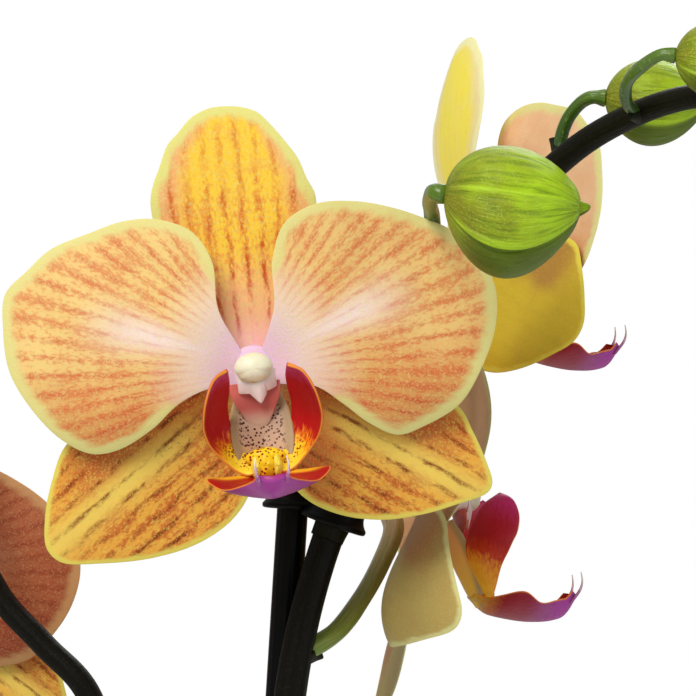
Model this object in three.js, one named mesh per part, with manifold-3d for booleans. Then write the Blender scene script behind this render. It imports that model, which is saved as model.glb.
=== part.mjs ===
// Potted moth orchid with two arching flower spikes, in millimetres, +Z up.
// The origin is the centre of the pot's flat bottom. The flowers' front is -Y.
import * as THREE from "three";
import { mergeVertices } from "three/addons/utils/BufferGeometryUtils.js";
import Module from "manifold-3d";

const wasm = await Module();
wasm.setup();

// Clearance between pieces that touch
const GAP = 0.3;

// Pot and bark
const POT_HEIGHT = 121;
const POT_FOOT_RADIUS = 45.5;
const POT_SHOULDER_RADIUS = 59;
const POT_RIM_RADIUS = 62.5;
const POT_RIM_DEPTH = 9;
const POT_WALL = 4;
const POT_FLOOR = 5;
const POT_SIDES = 30;
const DRAIN_RADIUS = 5;
const DRAIN_CIRCLE = 24;
const BARK_LEVEL = 104;
const CHIP_COUNT = 13;
const CHIP_SIZE = [36, 25, 9];
const CHIP_STAND = 9;

// Plant body
const CROWN_FOOT = 88;
const CROWN_TOP = 148;
const CROWN_RADII = [10.5, 9];
const ROOT_RADIUS = 2.6;

// Spikes and their supports
const SPIKE_RADII = [3.4, 3.25, 3.2, 3.0, 2.8, 2.4, 1.8];
const SPIKE_TWO_RADII = [2.9, 2.7, 2.6, 2.5, 2.3, 1.8];
const PEDICEL_RADIUS = 1.9;
const BUD_PEDICEL_RADIUS = 1.6;
const STAKE_RADIUS = 2.7;
const CLIP_WALL = 1.4;
const CLIP_HEIGHT = 6;

// Flower: depth of the joining discs and thickness of the blades
const BLADE = 0.8;
const LIP_BLADE = 1.1;
const SEAT_RADIUS = 5;
const RECEPTACLE_RADIUS = 4;
const RECEPTACLE_DEPTH = 6;
// A stalk's straight run into its flower or bud, and where it stops short of it
const STALK_RUN_IN = 3.2;
const BUD_RUN_IN = 2.2;
const STALK_CLEARANCE = 0.45;
// Front faces of the left and right lateral sepal at their root
const SEPAL_LEVELS = [-0.9, -1.15];

// Fineness of a flower's blades: points round a rim, rings inside it, columns across the lip
const FINE = { sides: 22, rings: 3, lobeSides: 12, lobeRings: 2, columns: 5, around: 12 };
const PLAIN = { sides: 14, rings: 2, lobeSides: 8, lobeRings: 1, columns: 3, around: 6 };

const STYLE = {
  glaze: { color: 0xf1efe9, roughness: 0.25, metalness: 0 },
  bark: { color: 0x5d3d26, roughness: 0.95, metalness: 0 },
  crown: { color: 0x6f8a3a, roughness: 0.6, metalness: 0 },
  root: { color: 0xa9b08c, roughness: 0.8, metalness: 0 },
  leaf: { color: 0x2e5a22, roughness: 0.4, metalness: 0 },
  spike: { color: 0x2c2a18, roughness: 0.5, metalness: 0 },
  support: { color: 0x141414, roughness: 0.35, metalness: 0 },
  sepal: { color: 0xe2b548, roughness: 0.6, metalness: 0 },
  petal: { color: 0xf0b98a, roughness: 0.6, metalness: 0 },
  lip: { color: 0xb01828, roughness: 0.5, metalness: 0 },
  column: { color: 0xf4f1dc, roughness: 0.5, metalness: 0 },
  bud: { color: 0x8cb020, roughness: 0.5, metalness: 0 },
};

// Outlines in the flower's own frame: x to the viewer's right, y up
const LEFT_PETAL = [
  [-1.4, 2.4], [-5.2, 11.9], [-5.4, 20.5], [-8.4, 26.3], [-14.6, 29.4], [-21.2, 29.7],
  [-27.2, 28.3], [-34.6, 26.1], [-39.2, 22.7], [-43.7, 18.9], [-44.7, 12.4], [-44.3, 4.7],
  [-41.1, -2.3], [-36.2, -8.6], [-31.2, -11.7], [-26.1, -11.5], [-19.5, -8.4], [-14.2, -4.4],
  [-9.2, -2.3], [-1.4, -1.6],
];
const RIGHT_PETAL = [
  [1.4, 2.4], [4.9, 11.6], [5.4, 19.7], [8.4, 26.4], [14.2, 29.2], [21.4, 29.0], [28.2, 27.1],
  [34.0, 24.5], [39.0, 21.5], [43.4, 16.3], [45.2, 10.3], [44.4, 3.5], [41.0, -3.8],
  [36.5, -9.7], [30.0, -12.9], [24.8, -14.1], [19.6, -11.2], [15.2, -7.1], [10.7, -3.6],
  [1.4, -1.6],
];
const DORSAL_SEPAL = [
  [-2.9, -1.5], [-6.2, 9.2], [-11.2, 18.9], [-15.6, 28.6], [-14.5, 35.5], [-10.9, 42.3],
  [-6.0, 47.4], [-0.2, 48.7], [5.0, 46.5], [10.4, 39.7], [13.6, 32.2], [14.0, 26.2],
  [11.3, 18.4], [5.7, 8.9], [2.6, -1.5],
];
const LEFT_SEPAL = [
  [1.0, 1.0], [-12.7, -1.0], [-24.0, -3.5], [-35.7, -9.5], [-39.1, -15.6], [-41.3, -22.7],
  [-41.6, -28.4], [-39.3, -31.1], [-32.2, -32.1], [-22.4, -32.1], [-13.8, -30.3],
  [-7.0, -26.5], [-3.0, -21.3], [-0.9, -12.3], [1.8, -3.0],
];
const RIGHT_SEPAL = [
  [-1.0, 1.0], [11.8, -2.7], [26.2, -5.1], [36.2, -9.9], [38.6, -15.0], [40.7, -21.6],
  [41.2, -24.8], [40.2, -26.5], [34.3, -28.1], [27.8, -29.3], [20.1, -29.5], [12.6, -27.7],
  [6.8, -24.2], [2.8, -18.2], [-1.8, -3.0],
];

// Side lobe of the lip seen from the side: depth in front of the flower's plane, and height
const SIDE_LOBE = [
  [7.0, -18.6], [5.2, -13.5], [5.1, -9.2], [7.2, -4.0], [10.0, 0.4], [13.8, 1.8], [17.0, 0.4],
  [17.9, -3.5], [16.8, -7.5], [14.3, -11.3], [11.4, -14.4], [9.8, -18.6],
];
// Stations along the lip's claw and its middle lobe: depth, height, half width, rise of edge
const LIP_CLAW = [
  [2.1, -4.2, 2.0, 0.2], [3.2, -8.0, 3.2, 0.6], [4.6, -13.0, 4.9, 1.2], [6.8, -17.4, 5.6, 1.6],
  [9.2, -19.9, 4.8, 2.0],
];
const LIP_MIDDLE = [
  [6.6, -17.8, 3.4, 1.4], [10.6, -19.7, 7.6, 2.9], [14.6, -20.7, 11.0, 2.8],
  [19.0, -21.4, 8.6, 2.8], [24.0, -21.5, 5.0, 1.8], [27.4, -20.4, 3.6, 0.9],
  [29.6, -17.6, 2.9, 0.4],
];
const TENDRIL = [[29.6, -17.8, 2.3], [30.5, -16.4, 2.6], [30.4, -15.2, 2.5]];

// Each open flower: centre, compass of its face from +X towards +Y, roll and scale; the turn of
// each lateral sepal in its plane and its twist, the lean and hood of the dorsal sepal, how far
// the petals curl back and tuck their lower edge, how far each lateral sepal leans back, how far
// the lip swings, and the way the flower's stalk runs
const FLOWERS = [
  {
    name: "bloom_1", centre: [7, -38, 425.6], facing: -90, roll: 6, scale: 1, detail: FINE,
    turns: [0, 0], twists: [0.08, 0.08], dorsal: [0.02, -0.0010],
    curl: 0.0022, tuck: 0.026, reclines: [0.0014, 0.0014], lipSwing: 3,
    stalk: [[25.6, -8.2, 406.5], [23, -13, 414], [16, -18, 421.6], [10, -23.4, 425.4]],
  },
  {
    name: "bloom_2", centre: [52.8, 25, 449.1], facing: 18, roll: -4, scale: 0.96, detail: PLAIN,
    turns: [-13, 0], twists: [0.4, 0.1], dorsal: [-0.375, 0.0076],
    curl: -0.0014, tuck: 0.026, reclines: [-0.0018, -0.0018], lipSwing: 0,
    stalk: [[40.3, -15.6, 435], [36.5, -6, 440], [35.5, 8, 445.6], [38.6, 17.6, 448.6]],
  },
  {
    name: "bloom_3", centre: [41.1, 21, 398.4], facing: 15, roll: -11, scale: 1, detail: PLAIN,
    turns: [-3, -34], twists: [0.5, 0.2], dorsal: [-0.1, 0.002],
    curl: 0.0024, tuck: 0.05, reclines: [0.0048, 0.003], lipSwing: 0,
    stalk: [[14.8, -9, 371], [22.4, 0, 374], [28, 8, 381], [30.2, 14.4, 390.5]],
  },
  {
    name: "bloom_4", centre: [-76.8, 62, 379], facing: -110, roll: -10, scale: 1, detail: PLAIN,
    turns: [0, 8], twists: [0.08, 0.08], dorsal: [0, -0.0012],
    curl: 0.0022, tuck: 0.026, reclines: [0.0014, 0.0014], lipSwing: 0,
    stalk: [[-75, 76, 440], [-72, 82, 426], [-70.5, 81.6, 405], [-71.4, 77, 387]],
  },
  {
    name: "bloom_5", centre: [-132, 84, 412], facing: -101.5, roll: 4, scale: 1, detail: PLAIN,
    turns: [0, 0], twists: [0.1, 0.1], dorsal: [0, -0.0014],
    curl: 0.002, tuck: 0.026, reclines: [0.0016, 0.0016], lipSwing: 0,
    stalk: [[-124, 108.4, 442], [-126, 108, 432], [-128.4, 104, 420], [-129.6, 99, 414]],
  },
];

// Each bud: where its stalk meets it, where its tip points, radius, and the way its stalk runs
const BUDS = [
  {
    name: "bud_1", base: [40.6, -61.5, 456.6], tip: [65.9, -62.5, 453.4], radius: 12.1, sag: 2.2,
    stalk: [
      [42.6, -18.2, 438.6], [41.4, -25, 446], [40.4, -32, 452], [39.4, -40, 456.6],
      [38.6, -50, 458.2], [38.1, -57.2, 457.8],
    ],
  },
  {
    name: "bud_2", base: [69.6, -49.6, 474.4], tip: [88.6, -50.4, 473.4], radius: 8, sag: 0.6,
    stalk: [[61.8, -44.6, 463], [61.2, -44, 468.4], [62.8, -46, 472.6]],
  },
  {
    name: "bud_3", base: [77.9, -83, 479], tip: [92.8, -85, 477], radius: 6.5, sag: 0.4,
    stalk: [[74.2, -62.6, 470.4], [71, -69, 473], [70.6, -77, 477.2]],
  },
  {
    name: "bud_4", base: [92.4, -71.4, 478], tip: [102.4, -66, 477], radius: 4.6, sag: 0.3,
    stalk: [[87.4, -76.6, 472.8], [87.2, -75, 476]],
  },
  {
    name: "bud_5", base: [107.45, -88.25, 466.8], tip: [114.4, -91, 462.5], radius: 3.2, sag: 0,
    stalk: [],
  },
  {
    name: "bud_6", base: [-146.6, 121.6, 432.6], tip: [-158.4, 136, 424], radius: 8.4, sag: 0.6,
    stalk: [[-143.6, 110.8, 434.2], [-142.6, 114, 437]],
  },
  {
    name: "bud_7", base: [-161.6, 113.4, 412.2], tip: [-166.4, 122, 398], radius: 6.4, sag: 0.3,
    stalk: [[-159, 109.4, 424.2], [-158.6, 111.6, 420.4]],
  },
  {
    name: "bud_8", base: [-177.2, 112, 412.6], tip: [-185.6, 119, 412], radius: 4.6, sag: 0.2,
    stalk: [[-173.2, 105.6, 411.8], [-173, 107.4, 412.6]],
  },
  {
    name: "bud_9", base: [-187.4, 100.85, 398], tip: [-193, 98.1, 391.2], radius: 3.2, sag: 0,
    stalk: [],
  },
];

const SPIKE_ONE = [
  [1.4, -5, 114], [4, -15.8, 119.4], [5.4, -18.8, 127], [7.6, -19, 150], [10.4, -14.8, 250],
  [11.4, -12.6, 310], [12.84, -10, 363], [20.7, -7, 395], [34.1, -8, 423.8], [48.6, -25, 448.3],
  [63.4, -46.6, 464.6], [74.9, -63, 470.9], [83, -72.5, 472.6], [93.4, -80, 472.8],
  [107, -88, 467],
];
const SPIKE_TWO = [
  [-1.4, 5, 116], [-3.2, 16.2, 120], [-4.4, 19.2, 129], [-6, 20.2, 150], [-12, 24, 250],
  [-21, 28, 318], [-29.7, 30, 357.8], [-48.8, 34, 378.2], [-58, 37, 398], [-62, 46, 420],
  [-67, 62, 436], [-80, 84, 443], [-102, 102, 446], [-130, 110, 440], [-155, 110, 427],
  [-172, 106, 413], [-187, 101, 398.4],
];
// Sheaths on the spikes, as shares of the spike's length
const SHEATHS_ONE = [0.18, 0.37, 0.655];
const SHEATHS_TWO = [0.14, 0.28, 0.455];

const STAKE_ONE = [[-9.8, -22.6, 20], [13.4, -1, 406]];
const STAKE_TWO = [[9.1, 19, 20], [-18.2, 35.6, 336]];

// Leaves: compass, height and tilt at the crown, length, half width, final tilt
const LEAVES = [
  { name: "leaf_1", compass: 8, level: 113, rise: 34, length: 178, half: 37, droop: -34 },
  { name: "leaf_2", compass: 186, level: 116, rise: 36, length: 186, half: 39, droop: -32 },
  { name: "leaf_3", compass: -10, level: 123, rise: 47, length: 192, half: 38, droop: -22 },
  { name: "leaf_4", compass: 170, level: 127, rise: 49, length: 188, half: 36, droop: -18 },
  { name: "leaf_5", compass: 6, level: 134, rise: 62, length: 160, half: 32, droop: 4 },
  { name: "leaf_6", compass: 182, level: 140, rise: 68, length: 122, half: 25, droop: 24 },
];

const ROOTS = [
  { name: "root_1", path: [[4, -5, 105], [14, -18, 116], [24, -30, 115], [29, -34, 100], [30, -35, 84]] },
  { name: "root_2", path: [[-5, -4, 105], [-19, -15, 117], [-31, -22, 114], [-37, -25, 98], [-38, -25, 82]] },
  { name: "root_3", path: [[5, 4, 105], [18, 17, 117], [28, 26, 114], [32, 30, 98], [33, 31, 82]] },
  {
    name: "root_4",
    path: [
      [-5, 4, 106], [-22, 16, 120], [-40, 27, 125], [-53, 35.4, 127], [-61, 40, 118], [-63, 41, 94],
    ],
  },
];

const smooth = (t) => {
  const c = THREE.MathUtils.clamp(t, 0, 1);
  return c * c * (3 - 2 * c);
};
const radians = THREE.MathUtils.degToRad;
const vector = (p) => new THREE.Vector3(...p);

// A seeded draw between 0 and 1
function makeDraw(seed) {
  let state = seed;
  return () => {
    state = (state * 16807) % 2147483647;
    return state / 2147483647;
  };
}

function solidOf(geometry) {
  const bare = geometry.clone();
  bare.deleteAttribute("normal");
  bare.deleteAttribute("uv");
  const merged = mergeVertices(bare, 1e-4);
  const index = [];
  for (let i = 0; i < merged.index.count; i += 3) {
    const [a, b, c] = [0, 1, 2].map((k) => merged.index.getX(i + k));
    if (a !== b && b !== c && c !== a) index.push(a, b, c);
  }
  return new wasm.Manifold(new wasm.Mesh({
    numProp: 3,
    vertProperties: new Float32Array(merged.attributes.position.array),
    triVerts: new Uint32Array(index),
  }));
}

function geometryOf(solid) {
  const mesh = solid.getMesh();
  const geometry = new THREE.BufferGeometry();
  geometry.setAttribute("position", new THREE.BufferAttribute(mesh.vertProperties, 3));
  geometry.setIndex(new THREE.BufferAttribute(mesh.triVerts, 1));
  return geometry;
}

const fuse = (geometries) => geometries.map(solidOf).reduce((sum, next) => sum.add(next));

// The largest body that is left of a solid once others are cut away
function trimmed(solid, cutters) {
  const bodies = cutters.reduce((rest, cutter) => rest.subtract(cutter), solid).decompose();
  return bodies.sort((a, b) => b.volume() - a.volume())[0];
}

function meshOf(name, geometry, style) {
  const flat = geometry.toNonIndexed();
  flat.computeVertexNormals();
  const mesh = new THREE.Mesh(flat, new THREE.MeshStandardMaterial({ ...style, flatShading: true }));
  mesh.name = name;
  return mesh;
}

// A closed skin from two layers of points: rows run along the blade, columns across it
function closedSkin(front, back) {
  const rows = front.length;
  const columns = front[0].length;
  const positions = [...front.flat(), ...back.flat()].flatMap((p) => [p.x, p.y, p.z]);
  const index = [];
  const at = (layer, i, j) => (layer * rows + i) * columns + j;
  const quad = (a, b, c, d) => index.push(a, b, c, a, c, d);
  for (let i = 0; i < rows - 1; i++) {
    for (let j = 0; j < columns - 1; j++) {
      quad(at(0, i, j), at(0, i, j + 1), at(0, i + 1, j + 1), at(0, i + 1, j));
      index.push(at(1, i, j), at(1, i + 1, j + 1), at(1, i, j + 1));
      index.push(at(1, i, j), at(1, i + 1, j), at(1, i + 1, j + 1));
    }
  }
  const edge = [];
  for (let j = 0; j < columns; j++) edge.push([0, j]);
  for (let i = 1; i < rows; i++) edge.push([i, columns - 1]);
  for (let j = columns - 2; j >= 0; j--) edge.push([rows - 1, j]);
  for (let i = rows - 2; i > 0; i--) edge.push([i, 0]);
  edge.forEach(([i, j], k) => {
    const [m, n] = edge[(k + 1) % edge.length];
    quad(at(0, m, n), at(0, i, j), at(1, i, j), at(1, m, n));
  });
  const geometry = new THREE.BufferGeometry();
  geometry.setAttribute("position", new THREE.Float32BufferAttribute(positions, 3));
  geometry.setIndex(index);
  return geometry;
}

// A blade with the given outline: rings of points drawn in towards the middle of the outline,
// lifted to height(x, y), with a back face straight behind the front one
function blade(outline, height, thickness, sides, rings) {
  const curve = new THREE.CatmullRomCurve3(outline.map(([x, y]) => new THREE.Vector3(x, y, 0)), true);
  let rim = curve.getSpacedPoints(sides).slice(0, sides);
  if (THREE.ShapeUtils.area(rim) < 0) rim = rim.reverse();
  const middle = rim.reduce((sum, p) => sum.add(p), new THREE.Vector3()).divideScalar(sides);
  const flat = [middle];
  for (let ring = 1; ring <= rings; ring++) {
    for (const p of rim) flat.push(middle.clone().lerp(p, ring / rings));
  }
  const count = flat.length;
  const positions = [];
  for (const drop of [0, thickness]) {
    for (const p of flat) positions.push(p.x, p.y, height(p.x, p.y) - drop);
  }
  const index = [];
  const face = (a, b, c) => index.push(a, b, c, a + count, c + count, b + count);
  const at = (ring, k) => 1 + (ring - 1) * sides + (k % sides);
  for (let k = 0; k < sides; k++) {
    face(0, at(1, k), at(1, k + 1));
    for (let ring = 1; ring < rings; ring++) {
      face(at(ring, k), at(ring + 1, k), at(ring + 1, k + 1));
      face(at(ring, k), at(ring + 1, k + 1), at(ring, k + 1));
    }
    const [a, b] = [at(rings, k), at(rings, k + 1)];
    index.push(a, a + count, b + count, a, b + count, b);
  }
  const geometry = new THREE.BufferGeometry();
  geometry.setAttribute("position", new THREE.Float32BufferAttribute(positions, 3));
  geometry.setIndex(index);
  return geometry;
}

// A round tube along a smooth curve through the points, with its radius drawn from a list
function tube(points, radii, sides, steps) {
  const curve = new THREE.CatmullRomCurve3(points.map(vector), false, "centripetal");
  const frames = curve.computeFrenetFrames(steps, false);
  const positions = [];
  for (let i = 0; i <= steps; i++) {
    const centre = curve.getPointAt(i / steps);
    const place = (i / steps) * (radii.length - 1);
    const low = Math.min(Math.floor(place), radii.length - 2);
    const radius = radii.length === 1
      ? radii[0]
      : THREE.MathUtils.lerp(radii[low], radii[low + 1], place - low);
    for (let k = 0; k < sides; k++) {
      const angle = (2 * Math.PI * k) / sides;
      const p = centre.clone()
        .addScaledVector(frames.normals[i], radius * Math.cos(angle))
        .addScaledVector(frames.binormals[i], radius * Math.sin(angle));
      positions.push(p.x, p.y, p.z);
    }
  }
  const index = [];
  for (let i = 0; i < steps; i++) {
    for (let k = 0; k < sides; k++) {
      const [a, b] = [i * sides + k, i * sides + ((k + 1) % sides)];
      index.push(a, b, b + sides, a, b + sides, a + sides);
    }
  }
  const last = steps * sides;
  for (let k = 1; k < sides - 1; k++) {
    index.push(0, k + 1, k, last, last + k, last + k + 1);
  }
  const geometry = new THREE.BufferGeometry();
  geometry.setAttribute("position", new THREE.Float32BufferAttribute(positions, 3));
  geometry.setIndex(index);
  return geometry;
}

// A turned body about the Z axis from a profile of [radius, height] pairs
function turned(profile, sides) {
  const geometry = new THREE.LatheGeometry(profile.map(([r, z]) => new THREE.Vector2(r, z)), sides);
  geometry.rotateX(Math.PI / 2);
  return geometry;
}

// Radius of the pot's inner face at a height
function potBore(z) {
  const share = (z - POT_FLOOR) / (POT_HEIGHT - POT_RIM_DEPTH - POT_FLOOR);
  return THREE.MathUtils.lerp(POT_FOOT_RADIUS, POT_SHOULDER_RADIUS, share) - POT_WALL;
}

function makePot() {
  const shoulder = POT_HEIGHT - POT_RIM_DEPTH;
  const lip = POT_RIM_RADIUS - POT_WALL - 1;
  const body = solidOf(turned([
    [0, 0], [POT_FOOT_RADIUS - 2, 0], [POT_FOOT_RADIUS, 2], [POT_SHOULDER_RADIUS, shoulder - 2],
    [POT_RIM_RADIUS, shoulder], [POT_RIM_RADIUS, POT_HEIGHT - 1.5], [POT_RIM_RADIUS - 1.5, POT_HEIGHT],
    [lip + 1.5, POT_HEIGHT], [lip, POT_HEIGHT - 1.5], [potBore(shoulder), shoulder],
    [potBore(POT_FLOOR), POT_FLOOR], [0, POT_FLOOR],
  ], POT_SIDES));
  const holes = [0, 1, 2].map((k) => {
    const hole = new THREE.CylinderGeometry(DRAIN_RADIUS, DRAIN_RADIUS, 3 * POT_FLOOR, 12);
    const angle = radians(90 + 120 * k);
    hole.rotateX(Math.PI / 2);
    hole.translate(DRAIN_CIRCLE * Math.cos(angle), DRAIN_CIRCLE * Math.sin(angle), 0);
    return solidOf(hole);
  });
  return meshOf("pot", geometryOf(holes.reduce((pot, hole) => pot.subtract(hole), body)), STYLE.glaze);
}

// The crown: a short upright stem, made larger all round by an extra for its socket
function crownGeometry(extra) {
  const [rx, ry] = CROWN_RADII;
  const swell = extra / ry;
  const height = CROWN_TOP - CROWN_FOOT;
  const geometry = turned([
    [0, CROWN_FOOT - extra], [0.72 + swell, CROWN_FOOT - extra],
    [1 + swell, CROWN_FOOT + 0.3 * height], [0.92 + swell, CROWN_FOOT + 0.6 * height],
    [0.6 + swell, CROWN_FOOT + 0.86 * height], [0.22 + swell, CROWN_TOP + extra],
    [0, CROWN_TOP + extra],
  ], 14);
  geometry.scale(rx, ry, 1);
  return geometry;
}

// Bark: a plug that fills the pot, with chips half sunk in its top and plain holes for what
// stands in it
function makeBark(standing) {
  const shrink = Math.cos(Math.PI / POT_SIDES);
  const wall = (z) => potBore(z) * shrink - GAP - 0.1;
  const floor = POT_FLOOR + GAP;
  const filling = (top) => turned([
    [0, floor], [wall(floor), floor], [wall(top), top], [0, top],
  ], POT_SIDES);
  const bound = solidOf(filling(Math.min(BARK_LEVEL + CHIP_STAND, POT_HEIGHT - POT_RIM_DEPTH)));
  const draw = makeDraw(4181);
  const chips = [];
  for (let k = 0; k < CHIP_COUNT; k++) {
    const [length, width, depth] = CHIP_SIZE.map((size) => size * (0.7 + 0.6 * draw()));
    const chip = new THREE.BoxGeometry(length, width, depth);
    const corner = chip.attributes.position;
    for (let i = 0; i < corner.count; i++) {
      const [x, y, z] = [corner.getX(i), corner.getY(i), corner.getZ(i)];
      corner.setXYZ(i, x * (1 - 0.25 * Math.sign(y * z)), y * (1 - 0.2 * Math.sign(x * z)), z);
    }
    chip.rotateX(0.7 * (draw() - 0.5));
    chip.rotateY(0.7 * (draw() - 0.5));
    chip.rotateZ(2 * Math.PI * draw());
    const radius = wall(BARK_LEVEL) * Math.sqrt((k + 0.5) / CHIP_COUNT);
    const angle = k * Math.PI * (3 - Math.sqrt(5));
    chip.translate(radius * Math.cos(angle), radius * Math.sin(angle), BARK_LEVEL + 2.2 * draw());
    chips.push(chip);
  }
  const filled = fuse([filling(BARK_LEVEL), ...chips]).intersect(bound);
  return meshOf("bark", geometryOf(trimmed(filled, standing.map(solidOf))), STYLE.bark);
}

// A strap leaf: its tilt falls evenly along its length, and its edges stand above its keel
function leafBlade({ compass, level, rise, length, half, droop }) {
  const rows = 9;
  const columns = 5;
  const front = [];
  const back = [];
  let out = 0;
  let up = 0;
  const heading = radians(compass);
  const start = 0.6 * CROWN_RADII[0];
  for (let i = 0; i < rows; i++) {
    const s = i / (rows - 1);
    const tilt = radians(THREE.MathUtils.lerp(rise, droop, s));
    if (i > 0) {
      out += (length / (rows - 1)) * Math.cos(tilt);
      up += (length / (rows - 1)) * Math.sin(tilt);
    }
    const swell = 0.22 + 0.78 * Math.sin(0.62 * Math.PI * s ** 0.75);
    const width = half * swell * Math.sqrt(1 - 0.985 * s ** 5);
    const channel = THREE.MathUtils.lerp(0.42, 0.1, smooth(1.6 * s)) * width;
    const frontRow = [];
    const backRow = [];
    for (let j = 0; j < columns; j++) {
      const v = (2 * j) / (columns - 1) - 1;
      const lift = channel * Math.pow(Math.abs(v), 1.4);
      const body = 1.5 - 0.9 * v * v;
      const place = (offset) => {
        const r = start + out - (lift + offset) * Math.sin(tilt);
        const across = width * v;
        return new THREE.Vector3(
          r * Math.cos(heading) - across * Math.sin(heading),
          r * Math.sin(heading) + across * Math.cos(heading),
          level + up + (lift + offset) * Math.cos(tilt),
        );
      };
      frontRow.push(place(body));
      backRow.push(place(-body));
    }
    front.push(frontRow);
    back.push(backRow);
  }
  return closedSkin(back, front);
}

// Frame of a flower: x to the viewer's right, y up, z the way it faces
function flowerFrame({ centre, facing, roll, scale }) {
  const face = new THREE.Vector3(Math.cos(radians(facing)), Math.sin(radians(facing)), 0);
  const right = new THREE.Vector3(0, 0, 1).cross(face);
  const up = face.clone().cross(right);
  const frame = new THREE.Matrix4().makeBasis(right, up, face);
  frame.multiply(new THREE.Matrix4().makeRotationZ(radians(roll)));
  frame.scale(new THREE.Vector3(scale, scale, scale));
  return frame.setPosition(...centre);
}

// Petals rise from the seat, curl back towards the rim, and tuck their lower edge back
const petalHeight = (curl, tuck) => (x, y) => {
  const r = Math.hypot(x, y);
  const wave = 0.7 * (r / 45) ** 2 * Math.sin(5 * Math.atan2(y, Math.abs(x)) + 0.6);
  return 0.9 + 3.4 * smooth(r / 16) - curl * r * r - tuck * Math.max(0, -y - 3) ** 2 + wave;
};

const sepalWave = (x, y) => 0.5 * Math.sin(7 * Math.atan2(y, x)) * (Math.hypot(x, y) / 45) ** 2;

const dorsalHeight = ([lean, hood]) => (x, y) => {
  const r = Math.hypot(x, y);
  return -0.7 - 1.5 * smooth(r / 10) + lean * r * smooth(r / 12) + hood * r * r + sepalWave(x, y);
};

// A lateral sepal leans back along its length and is twisted about its own axis
const lateralHeight = (level, axis, recline, twist) => (x, y) => {
  const r = Math.hypot(x, y);
  const across = axis.x * y - axis.y * x;
  const turn = Math.sign(axis.x) * twist * across * smooth(r / 14);
  return level - 1.5 * smooth(r / 10) - recline * r * r + turn + sepalWave(x, y);
};

const swung = (outline, degrees) => outline.map(([x, y]) => {
  const p = new THREE.Vector2(x, y).rotateAround(new THREE.Vector2(), radians(degrees));
  return [p.x, p.y];
});

function makeSepals({ turns, twists, dorsal, reclines, detail }) {
  const receptacle = turned([
    [0, -RECEPTACLE_DEPTH], [2.1, -RECEPTACLE_DEPTH], [RECEPTACLE_RADIUS, -2.2],
    [RECEPTACLE_RADIUS, -0.2], [0, -0.2],
  ], 10);
  const rings = 2;
  const laterals = [LEFT_SEPAL, RIGHT_SEPAL].map((outline, side) => {
    const axis = new THREE.Vector2(side ? 1 : -1, -0.7).normalize();
    axis.rotateAround(new THREE.Vector2(), radians(turns[side]));
    const height = lateralHeight(SEPAL_LEVELS[side], axis, reclines[side], twists[side]);
    return blade(swung(outline, turns[side]), height, BLADE, detail.sides, rings);
  });
  const upper = blade(DORSAL_SEPAL, dorsalHeight(dorsal), BLADE, detail.sides, rings);
  return geometryOf(fuse([receptacle, upper, ...laterals]));
}

function makePetals({ curl, tuck, detail }) {
  const seat = turned([[0, 0.1], [SEAT_RADIUS, 0.1], [SEAT_RADIUS, 1.2], [0, 1.2]], 10);
  const { sides, rings } = detail;
  return geometryOf(fuse([
    seat,
    blade(LEFT_PETAL, petalHeight(curl, tuck), BLADE, sides, rings),
    blade(RIGHT_PETAL, petalHeight(curl, tuck), BLADE, sides, rings),
  ]));
}

// A bent strip along stations of depth, height, half width and rise of its edges
function lipStrip(stations, columns, thickness) {
  const spine = new THREE.CatmullRomCurve3(stations.map(([z, y]) => new THREE.Vector3(0, y, z)));
  const front = [];
  const back = [];
  stations.forEach(([z, y, half, rise], i) => {
    const along = spine.getTangent(i / (stations.length - 1));
    const normal = new THREE.Vector3(0, along.z, -along.y);
    const row = (offset) => Array.from({ length: columns }, (_, j) => {
      const v = (2 * j) / (columns - 1) - 1;
      const lift = rise * Math.pow(Math.abs(v), 1.6) + offset;
      return new THREE.Vector3(half * v, y + lift * normal.y, z + lift * normal.z);
    });
    front.push(row(thickness / 2));
    back.push(row(-thickness / 2));
  });
  return closedSkin(back, front);
}

// How far out a side lobe stands at a depth and height: it flares at its front edge below
const lobeFlare = (z, y) => {
  const foot = 5.3 - 0.12 * Math.max(0, -y - 8) - 0.5 * smooth((y + 6) / 8);
  return foot + 0.36 * Math.max(0, z - 6) ** 1.15 * (1 - 0.9 * smooth((y + 7) / 10));
};

// A side lobe is a blade seen from the side, turned so that its height runs outwards
function sideLobe(sign, { lobeSides, lobeRings }) {
  const outer = (z, y) => lobeFlare(z, y) + BLADE / 2;
  const lobe = blade(SIDE_LOBE, outer, BLADE, lobeSides, lobeRings);
  const place = lobe.attributes.position;
  for (let i = 0; i < place.count; i++) {
    place.setXYZ(i, sign * place.getZ(i), place.getY(i), place.getX(i));
  }
  if (sign > 0) {
    const index = lobe.index.array;
    for (let i = 0; i < index.length; i += 3) [index[i], index[i + 1]] = [index[i + 1], index[i]];
  }
  return lobe;
}

function makeLip({ detail, lipSwing }) {
  const fine = detail === FINE;
  const callus = new THREE.SphereGeometry(1, fine ? 7 : 5, 4);
  callus.scale(3.2, 2.4, 2.4);
  callus.translate(0, -16.9, 9.8);
  const steps = fine ? 3 : 2;
  const tendrils = [-1, 1].map((sign) => tube(
    TENDRIL.map(([z, y, x]) => [sign * x, y, z]), [0.55, 0.42, 0.34], steps + 1, steps,
  ));
  const lip = geometryOf(fuse([
    lipStrip(LIP_CLAW, 3, LIP_BLADE), lipStrip(LIP_MIDDLE, detail.columns, LIP_BLADE),
    sideLobe(-1, detail), sideLobe(1, detail), callus, ...tendrils,
  ]));
  return lip.rotateY(radians(lipSwing));
}

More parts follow.
